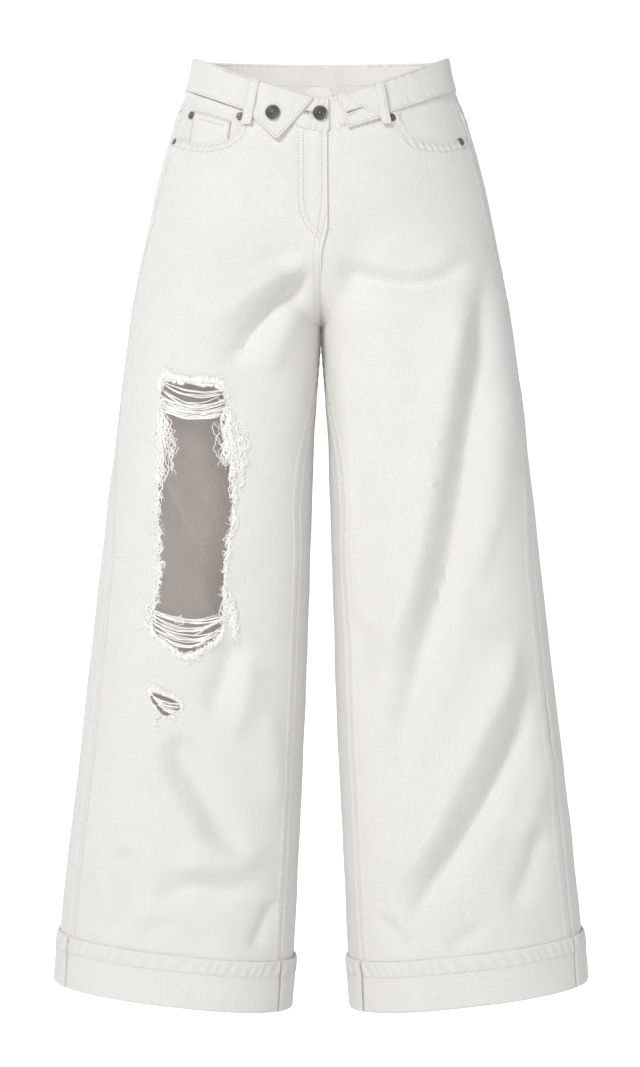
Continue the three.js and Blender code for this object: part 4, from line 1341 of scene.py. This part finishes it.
def build_stitching():
    for side, word in ((-1, "right"), (1, "left")):
        threads = Threads(f"stitching_{word}", thread)
        sew_leg(threads, side)
        sew_band_and_hem(threads, side)
        for inset in POCKET_STITCHES:
            sew_map(threads, side, inset_line(BACK_POCKET, inset, 1, 5), map_back, GAP + CLOTH - 0.25)
        for drop in (5, 13):
            line = [(40, -134 - drop), (140, -121.5 - drop)]
            sew_map(threads, side, line, map_back, GAP + CLOTH + 0.1)
        threads.make()

    threads = Threads("stitching_waist", thread)
    fly = rounded(FLY_CURVE, 8)
    for curve in (fly, offset_curve(fly, -5.6)):
        sew_map(threads, -1, curve, place_at, fly_lift)
    for inset in (2.2, 7.8):
        line = [(inset - 8, -74), (inset - 8, -150), (inset - 4, -185), (inset, -205), (inset, -278)]
        sew_map(threads, -1, rounded(line, 8), place_at, fly_lift)
    for side, outline, last, relief in ((-1, TAB_RIGHT, 7, tab_right_relief),
                                        (1, TAB_LEFT, 6, tab_left_relief)):
        line = inset_line(outline, TAB_STITCH, 1, last)
        sew_map(threads, side, line, place_at, face_of(relief, outline, TAB_LIFT))
    on_coin = face_of(coin_relief, COIN_POCKET, COIN_LIFT)
    for inset in COIN_STITCHES:
        sew_map(threads, -1, inset_line(COIN_POCKET, inset, 0, 1), place_at, on_coin)
    sew_map(threads, -1, inset_line(COIN_POCKET, 1.6, 1, 5), place_at, on_coin)
    threads.make()


def fly_lift(t, h):
    """The right front's raised lap along the fly."""
    return FLY_LIFT * smooth(14, 4, form(t, h)[..., 0]) * smooth(LAP_END, FLY_END, h)


def face_of(relief, outline, base):
    """Lift of a small piece's own surface, for the stitches on it."""
    rim = closed(np.array(outline, float))

    def lift(t, h):
        place = form(t, h)
        x, z = place[..., 0], place[..., 2]
        return base + relief(x, z, distance_to(rim, x, z)[0])
    return lift


def offset_curve(curve, distance):
    along = np.gradient(np.asarray(curve, float), axis=0)
    normal = np.stack([-along[:, 1], along[:, 0]], 1) / np.linalg.norm(along, axis=1, keepdims=True)
    return curve + normal * distance


# ---- Satin work: bar tacks and buttonhole edges ----
def satin(threads, side, centre, angle, length, width, lift, to_place=place_at):
    """A bar tack: close stitches across a short line."""
    along = np.linspace(-length / 2, length / 2, int(length / 0.55))
    ca, sa = math.cos(angle), math.sin(angle)
    across = np.linspace(-0.5, 0.5, 5) * width
    a = centre[0] + along[:, None] * ca - across[None] * sa
    b = centre[1] + along[:, None] * sa + across[None] * ca
    t, h = to_place(a, b)
    face = lift(t, h) if callable(lift) else lift
    arch = np.array([-0.3, 0.25, 0.38, 0.25, -0.3])[None]
    threads.add(cloth(side, t, h, face + arch), 0.36)


def purl(threads, side, outline, lift, to_place, reach):
    """A buttonhole's edge: short stitches from the slot outwards, close together."""
    rim = stepped(outline, 0.62, True)
    out = offset_ring(rim, -reach)
    steps = np.array([-0.12, 0.1, 0.5, 0.9, 1.0])
    a = mix(rim[:, None, 0], out[:, None, 0], steps[None])
    b = mix(rim[:, None, 1], out[:, None, 1], steps[None])
    t, h = to_place(a, b)
    arch = np.array([-1.0, 0.28, 0.36, 0.22, -0.25])[None]
    threads.add(cloth(side, t, h, lift + arch), 0.33)


def build_satin():
    threads = Threads("tacks_and_buttonholes", satin_thread_glowing)
    purl(threads, 1, slot_outline(*SLOT), TAB_LIFT, place_at, 2.0)
    purl(threads, -1, slot_outline(*BAND_SLOT), BAND_LIFT, band_place, 1.8)
    satin(threads, -1, (-3.2, -184.5), 0, 8.6, 1.8, fly_lift)
    for _, side, top, bottom, over in LOOPS:
        to_place = map_back if over == OVER_BAND else place_at
        satin(threads, side, (top[0], top[1] - 2.6), 0, 8.6, 2, over, to_place)
        satin(threads, side, (bottom[0], bottom[1] + 2.6), 0, 8.6, 2, LOOP_FOOT, to_place)
    for side in (-1, 1):
        for spot in ((36, -137), (143, -124)):
            satin(threads, side, spot, math.radians(80), 7, 2, GAP + CLOTH + 0.2, map_back)
        satin(threads, side, (86.5, -47), math.radians(90), 8, 2, 0.5)
    threads.make()


# ---- Frayed cloth round the two tears ----
random = np.random.default_rng(20)


def tear_points(x, z, lift):
    """Points over the right front at x < 0 and z, lift out from the form, with the cloth's folds."""
    x, z, lift = np.broadcast_arrays(x, z, lift)
    t, h = place_at(-x, z)
    return cloth(-1, t, h, lift)


def wander(n, k, size, turns):
    """Smooth sideways drift of n threads at k points, size millimetres wide."""
    u = np.linspace(0, 1, k)[None]
    phase = random.uniform(0, 2 * np.pi, (n, 3))
    rate = turns * random.uniform(0.6, 1.5, (n, 3)) * np.array([[1, 2.3, 4.1]])
    weight = np.array([1.0, 0.45, 0.2])
    waves = [weight[i] * np.sin(phase[:, i:i + 1] + rate[:, i:i + 1] * 2 * np.pi * u) for i in range(3)]
    return size * (sum(waves) - sum(w[:, :1] for w in waves))


def on_outline(outline, keep):
    """Random places on a closed outline where keep(x, z) holds, with the way into the hole."""
    ring = stepped(outline, 0.35, True)
    inwards = ring - offset_ring(ring, -1)
    chosen = np.flatnonzero(keep(ring[:, 0], ring[:, 1]))
    return ring[chosen], inwards[chosen]


def fringe(threads, outline, keep, count, reach, lean, curl=0.35, lift=(0.4, 1.9), radius=0.5, back=3.0):
    """Short threads along an edge. lean is the direction they are combed in, as (x, z)."""
    ring, inwards = on_outline(outline, keep)
    pick = random.integers(0, len(ring), count)
    root, into = ring[pick], inwards[pick]
    clump = np.sin(pick * 0.11) * 0.5 + np.sin(pick * 0.041 + 1) * 0.5
    length = reach * random.uniform(0.45, 1.15, count) * (1 + 0.35 * clump)
    way = np.array(lean)[None] + random.normal(0, 0.22, (count, 2)) + 0.15 * into
    way /= np.linalg.norm(way, axis=1, keepdims=True)
    root = root - into * random.uniform(-0.6, back, count)[:, None]
    k = 5
    u = np.linspace(0, 1, k)[None]
    side = np.stack([-way[:, 1], way[:, 0]], 1)
    bend = wander(count, k, curl, 0.7) * length[:, None] * 0.35
    x = root[:, :1] + way[:, :1] * length[:, None] * u + side[:, :1] * bend
    z = root[:, 1:] + way[:, 1:] * length[:, None] * u + side[:, 1:] * bend
    raised = random.uniform(*lift, count)[:, None]
    height = raised * np.sin(np.pi * np.clip(0.12 + 0.75 * u, 0, 1)) + 0.1
    taper = np.array([[0.8, 1, 0.95, 0.8, 0.35]]) * random.uniform(0.65, 1.1, (count, 1)) * radius
    threads.add(tear_points(x, z, height), taper)


def strands(threads, start, end, count, spread, sag=0.0, drift=0.8, turns=1.2, points=14,
            radius=0.4, lift=(0.2, 1.6), ends=0.35):
    """A bunch of loose threads from start to end, (x, z) places, with their middles sagging."""
    u = np.linspace(0, 1, points)[None]
    n = count
    across = random.uniform(-0.5, 0.5, (n, 1)) * spread
    p, q = np.array(start, float), np.array(end, float)
    along = (q - p) / np.linalg.norm(q - p)
    side = np.array([-along[1], along[0]])
    reach = 1 + random.normal(0, 0.04, (n, 1))
    drop = sag * (1 + random.normal(0, 0.12, (n, 1))) * 4 * u * (1 - u)
    drifting = wander(n, points, drift, turns) * np.minimum(1, 6 * u * (1.15 - u))
    gather = 1 - ends * np.sin(np.pi * u) ** 2
    x = p[0] + (q - p)[0] * u * reach + side[0] * (across * gather + drifting)
    z = p[1] + (q - p)[1] * u * reach + side[1] * (across * gather + drifting) - drop
    height = random.uniform(*lift, (n, 1)) + wander(n, points, 0.5, 1.0)
    thick = random.uniform(0.75, 1.15, (n, 1)) * radius
    ending = np.minimum(1, 0.5 + 4 * np.minimum(u, 1 - u))
    threads.add(tear_points(x, z, height), thick * ending)


# Wefts left across the tears: left end, right end, threads, spread at the ends, sag.
KNEE_WEFTS = [((-174, -346.5), (-103, -357.5), 3, 2.0, 7.5), ((-174, -348.5), (-103, -360.5), 3, 1.8, 11),
              ((-173, -356), (-103.5, -366.5), 4, 2.4, 11.5), ((-175, -363), (-104, -370.5), 5, 2.6, 10.5),
              ((-174, -369), (-104.5, -375.5), 5, 2.8, 10), ((-173, -374), (-105, -379.5), 6, 3.4, 9),
              ((-172, -379), (-106, -383.5), 6, 3.0, 7)]
LOWER_WEFTS = [((-184, -596), (-105, -603), 8, 4.0, 9), ((-184, -600), (-104, -605), 3, 2.0, 14),
               ((-184, -604), (-122, -613), 3, 2.0, 9), ((-139, -624), (-104, -602), 3, 1.6, 2),
               ((-183, -609), (-106, -615), 4, 2.2, 14), ((-181, -616), (-110, -622), 3, 2.0, 11),
               ((-176, -622), (-122, -629), 3, 2.0, 8), ((-166, -630), (-130, -634), 3, 1.6, 4)]
SMALL_WEFTS = [((-185, -687), (-153, -697), 5, 1.8, 3.5), ((-182, -690), (-154, -700), 6, 2.4, 4.5),
               ((-177, -697), (-157, -705), 6, 2.6, 3.0), ((-172, -704), (-160, -707), 4, 1.6, 1.0)]

# Loose ends that hang: top, bottom, threads, spread, radius.
HANGING = [((-171, -384), (-163, -447), 6, 9, 0.58), ((-166, -386), (-158, -430), 3, 6, 0.5),
           ((-174, -382), (-170, -458), 6, 6, 0.56), ((-160, -398), (-155, -426), 2, 5, 0.45),
           ((-104, -378), (-102, -438), 9, 4, 0.68), ((-98, -380), (-94, -438), 7, 8, 0.6),
           ((-113, -392), (-107, -444), 3, 5, 0.48), ((-92, -392), (-82, -412), 5, 7, 0.5),
           ((-86, -404), (-91, -450), 5, 7, 0.56), ((-86, -430), (-86, -466), 3, 4, 0.5),
           ((-96, -440), (-97, -474), 5, 6, 0.54), ((-97, -588), (-93, -630), 5, 6, 0.54),
           ((-101, -575), (-98, -616), 4, 5, 0.52), ((-184, -588), (-188, -616), 4, 4, 0.5),
           ((-140, -640), (-143, -656), 3, 3, 0.45), ((-132, -640), (-133, -650), 2, 3, 0.42),
           ((-176, -704), (-180, -726), 3, 2.5, 0.45), ((-164, -706), (-161, -716), 3, 3, 0.4),
           ((-176, -386), (-184, -416), 3, 4, 0.42), ((-158, -604), (-150, -612), 3, 5, 0.42)]


def edge_strip(threads, line, count, width, length, inner_side):
    """Vertical warp threads left along a long side of the tear, wavy and tangled."""
    path = rounded(line, 8)
    top, bottom = path[0, 1], path[-1, 1]
    n, k = count, 12
    start = random.uniform(bottom + 10, top, n)
    reach = length * random.uniform(0.35, 1.2, n)
    z = start[:, None] - reach[:, None] * np.linspace(0, 1, k)[None]
    z = np.maximum(z, bottom - 14)
    edge_x = np.interp(-z, -path[:, 1], path[:, 0])
    offset = random.uniform(-0.35, 0.65, n)[:, None] * width * inner_side
    x = edge_x + offset + wander(n, k, 1.5, 1.1) + inner_side * 0.5
    height = random.uniform(0.3, 2.2, (n, 1)) + wander(n, k, 0.6, 1.2)
    thick = random.uniform(0.4, 0.68, (n, 1))
    ending = np.minimum(1, 0.4 + 5 * np.minimum(np.linspace(0, 1, k), 1 - np.linspace(0, 1, k)))[None]
    threads.add(tear_points(x, z, np.maximum(height, 0.2)), thick * ending)


LEFT_EDGE = [(-173, -372), (-171, -390), (-174, -440), (-176, -500), (-175, -560), (-182, -600)]
RIGHT_EDGE = [(-104, -368), (-101, -390), (-96, -448), (-96, -497), (-104, -543), (-106, -596)]


FRAY_NAMES = ("frayed_threads", "loose_threads")


# the knee tear: below its top edge, above its bottom edge, and the line between its two sides
KNEE_TOP = -358
KNEE_BOTTOM = -612
KNEE_MIDDLE = -140
LEFT_TOP = -352  # its top edge is a little higher at the wearer's outer side


def build_fray():
    threads = Threads(FRAY_NAMES[0], frayed)
    knee = stepped(knee_rip, TEAR_STEP, True)
    small = stepped(small_rip, 1.0, True)

    def top(x, z):
        return z > KNEE_TOP

    def bottom(x, z):
        return z < KNEE_BOTTOM

    def left(x, z):
        return (x < KNEE_MIDDLE) & (z < LEFT_TOP) & (z > KNEE_BOTTOM)

    def right(x, z):
        return (x > KNEE_MIDDLE) & (z < KNEE_TOP) & (z > KNEE_BOTTOM)

    def small_top(x, z):
        return z > -690 - 0.33 * (x + 187)  # the small tear lies aslant

    def small_bottom(x, z):
        return z < -697

    # combed up over the cloth above the tear, and hanging over its edge
    fringe(threads, knee, top, 520, 8.5, (0.12, 1), lift=(0.5, 2.6), radius=0.42, back=2.0)
    fringe(threads, knee, top, 260, 3.4, (0.1, -1), lift=(0.2, 1.2), back=1.0)
    fringe(threads, knee, bottom, 460, 6.6, (0.05, -1), lift=(0.5, 2.4), radius=0.42, back=1.5)
    fringe(threads, knee, bottom, 160, 2.6, (0, 1), lift=(0.2, 1.0), back=0.5)
    # weft ends that stick out of the two long sides
    fringe(threads, knee, left, 130, 6.5, (0.9, -0.5), curl=0.9, lift=(0.2, 2.0), back=4)
    fringe(threads, knee, left, 110, 6.0, (-0.8, -0.7), curl=0.9, lift=(0.4, 2.2), back=0)
    fringe(threads, knee, right, 130, 6.5, (-0.9, -0.5), curl=0.9, lift=(0.2, 2.0), back=4)
    fringe(threads, knee, right, 130, 7.0, (0.8, -0.7), curl=0.9, lift=(0.4, 2.4), back=0)
    edge_strip(threads, LEFT_EDGE, 46, 4.6, 26, -1)
    edge_strip(threads, RIGHT_EDGE, 46, 5.0, 26, 1)
    fringe(threads, small, small_top, 360, 7.0, (0.25, 1), lift=(0.4, 2.0), radius=0.26, back=1.5)
    fringe(threads, small, small_bottom, 200, 3.6, (0.1, -1), lift=(0.3, 1.4), radius=0.26)
    threads.make()

    threads = Threads(FRAY_NAMES[1], frayed)
    for start, end, count, spread, sag in KNEE_WEFTS + LOWER_WEFTS:
        strands(threads, start, end, count, spread, sag, drift=0.55, turns=1.0, points=22, radius=0.52,
                lift=(-0.6, 1.0), ends=0.2)
    for start, end, count, spread, sag in SMALL_WEFTS:
        strands(threads, start, end, count, spread, sag, drift=0.3, points=14, radius=0.38,
                lift=(-0.4, 0.6), ends=0.2)
    for start, end, count, spread, radius in HANGING:
        strands(threads, start, end, count, spread, 0, drift=2.3, turns=2.2, points=24, radius=radius,
                lift=(0.6, 3.4), ends=-0.25)
    threads.make()


# ---- Buttons and rivets ----
def lathe(name, nodes, side, x, z, lift, profile, spokes, wear):
    """Turned metal on the cloth: profile is (radius, height), wear(r, height) is how polished it is."""
    t, h = place_at(np.array([x]), np.array([z]))
    foot = cloth(side, t, h, lift)[0]
    normal = cloth(side, t, h, lift + 10)[0] - foot
    normal /= np.linalg.norm(normal)
    u = np.cross([0, 0, 1], normal)
    u /= np.linalg.norm(u)
    v = np.cross(normal, u)
    curve = np.array(profile, float)
    angle = 2 * np.pi * np.arange(spokes) / spokes
    ring = np.cos(angle)[:, None] * u + np.sin(angle)[:, None] * v
    points = foot + curve[:, 0][:, None, None] * ring[None] + curve[:, 1][:, None, None] * normal
    k = len(curve)
    r, s = np.meshgrid(np.arange(k - 1), np.arange(spokes), indexing="ij")
    a, b = r * spokes + s, r * spokes + (s + 1) % spokes
    faces = np.stack([a, b, b + spokes, a + spokes], -1).reshape(-1, 4)
    shade = np.repeat([wear(*p) for p in curve], spokes)
    thing = make_object(name, points.reshape(-1, 3), faces, [metal], None, shade)
    settle(thing, nodes)


def ringed_profile(radius, tall, post):
    """A shank button: a post, a rolled rim, a dished face with rings and a small nub."""
    rim = [(radius - 0.7 + 0.7 * math.sin(a), tall - 1.5 - 0.9 * math.cos(a))
           for a in np.linspace(0.2, math.pi, 12)]
    under = [(0.01, -post), (1.8, -post), (1.8, 1.5), (radius - 1.2, 1.5)]
    face = [(radius - 1.5, tall - 0.9), (radius - 2.2, tall - 1.25), (radius - 2.8, tall - 0.95),
            (radius - 3.4, tall - 1.3), (radius - 4.1, tall - 1.0), (radius - 4.8, tall - 1.35)]
    nub = [(1.9, tall - 1.3), (1.75, tall - 0.75), (1.35, tall - 0.3), (0.8, tall - 0.12),
           (0.01, tall - 0.08)]
    return rounded([*under, *rim, *face, *nub], 4)


def build_metal():
    def button_wear(r, height):
        return 0.25 + 0.55 * smooth(2.9, 3.8, height) + 0.25 * math.sin(6 * r)

    def rivet_wear(r, height):
        return 0.3 + 0.3 * height

    for name, x, z, lift, post in (("button_waist", 1.1, -59.5, BAND_LIFT + 0.5, 2.6),
                                   ("button_flap", 51.5, -59.2, TAB_LIFT + 0.5, 0.3)):
        lathe(f"{name}_metal", [name], -1, x, z, lift, ringed_profile(8, 4.3, post), 72, button_wear)
    profile = [(0.01, -0.2), (4.1, -0.2), (4.25, 0.2), (4.15, 0.7), (3.8, 0.95), (3.1, 1.0), (2.7, 0.85),
               (2.1, 0.95), (1.75, 1.5), (1.2, 1.9), (0.5, 1.98), (0.01, 1.98)]
    spots = [(-1, 87.7, -60.3, 0.4), (-1, 161.8, -81.5, 0.4), (-1, 143.6, -52.5, COIN_LIFT + 0.4),
             (1, 76.9, -62.5, 0.4), (1, 153.8, -82.9, 0.4)]
    for i, (side, x, z, lift) in enumerate(spots):
        lathe(f"rivet_{i + 1}_metal", [f"rivet_{i + 1}"], side, x, z, lift, rounded(profile, 3), 40,
              rivet_wear)


# ---- Floor, light and camera ----
FLOOR = -1130
STAGE_RADIUS = 9000
CAMERA = (-1.1, -2500, -513)
FIELD_OF_VIEW = 26.9  # degrees, over the picture's height


def build_stage():
    """A pale floor that sweeps up into a wall all round, so every side is seen against it."""
    sweep = np.linspace(0, math.pi / 2, 12)
    profile = [(r, FLOOR) for r in (1, 1000, 3000)]
    profile += [(STAGE_RADIUS + 3000 * (math.sin(a) - 1), FLOOR + 3000 * (1 - math.cos(a)))
                for a in sweep]
    profile += [(STAGE_RADIUS, 6000)]
    spokes = 64
    turn = 2 * np.pi * np.arange(spokes) / spokes
    points = [(r * math.cos(a), r * math.sin(a), z) for r, z in profile for a in turn]
    faces = [(r * spokes + c, r * spokes + (c + 1) % spokes, (r + 1) * spokes + (c + 1) % spokes,
              (r + 1) * spokes + c) for r in range(len(profile) - 1) for c in range(spokes)]
    made = Material("studio_white", Base_Color=(0.72, 0.72, 0.72, 1), Roughness=0.9,
                    Emission_Color=(1, 1, 1, 1))
    seen = made.add("LightPath").outputs["Is Camera Ray"]
    # looks whiter than it lights, from every side alike
    glow = made.add("Math", {0: seen, 1: 0.7, 2: 0.21}, operation="MULTIPLY_ADD").outputs["Value"]
    made.fill(made.surface, {"Emission Strength": glow})
    make_object("studio_floor", points, faces, [made.material], crisp=False)


def area_light(name, place, aim, size, power, colour=(1, 1, 1)):
    data = bpy.data.lights.new(name, "AREA")
    data.size = size
    data.energy = power
    data.color = colour
    light = bpy.data.objects.new(name, data)
    bpy.context.scene.collection.objects.link(light)
    light.location = place
    light.rotation_euler = (Vector(aim) - Vector(place)).to_track_quat("-Z", "Y").to_euler()


def build_lights():
    area_light("key", (-1.9, -3.1, 2.05), (0.05, 0, -0.5), 0.9, 87, (1, 0.993, 0.98))
    area_light("fill", (0.25, -3.6, -0.4), (0, 0, -0.6), 0.6, 26)
    area_light("back_left", (-2.4, 2.4, 1.4), (0, 0, -0.4), 1.6, 46)
    area_light("back_right", (2.8, 1.4, 1.0), (0, 0, -0.4), 2.0, 14)
    world = bpy.data.worlds.new("studio")
    bpy.context.scene.world = world
    world.use_nodes = True
    sky = world.node_tree.nodes["Background"]
    sky.inputs["Color"].default_value = (1, 1, 1, 1)
    sky.inputs["Strength"].default_value = 0.24
    bpy.context.scene.view_settings.view_transform = "Standard"


def build_camera():
    data = bpy.data.cameras.new("camera")
    data.sensor_width = 36
    data.lens = data.sensor_width / 2 / math.tan(math.radians(FIELD_OF_VIEW / 2))
    camera = bpy.data.objects.new("camera", data)
    bpy.context.scene.collection.objects.link(camera)
    camera.location = [v * METRES for v in CAMERA]
    camera.rotation_euler = (math.pi / 2, 0, 0)
    bpy.context.scene.camera = camera


# ---- Making it all ----
build_camera()
build_lights()
build_stage()
build_panels()
for side, word in ((-1, "right"), (1, "left")):
    build_cuff(side, word)
build_bands()
build_patches()
build_stitching()
build_satin()
build_fray()
build_metal()
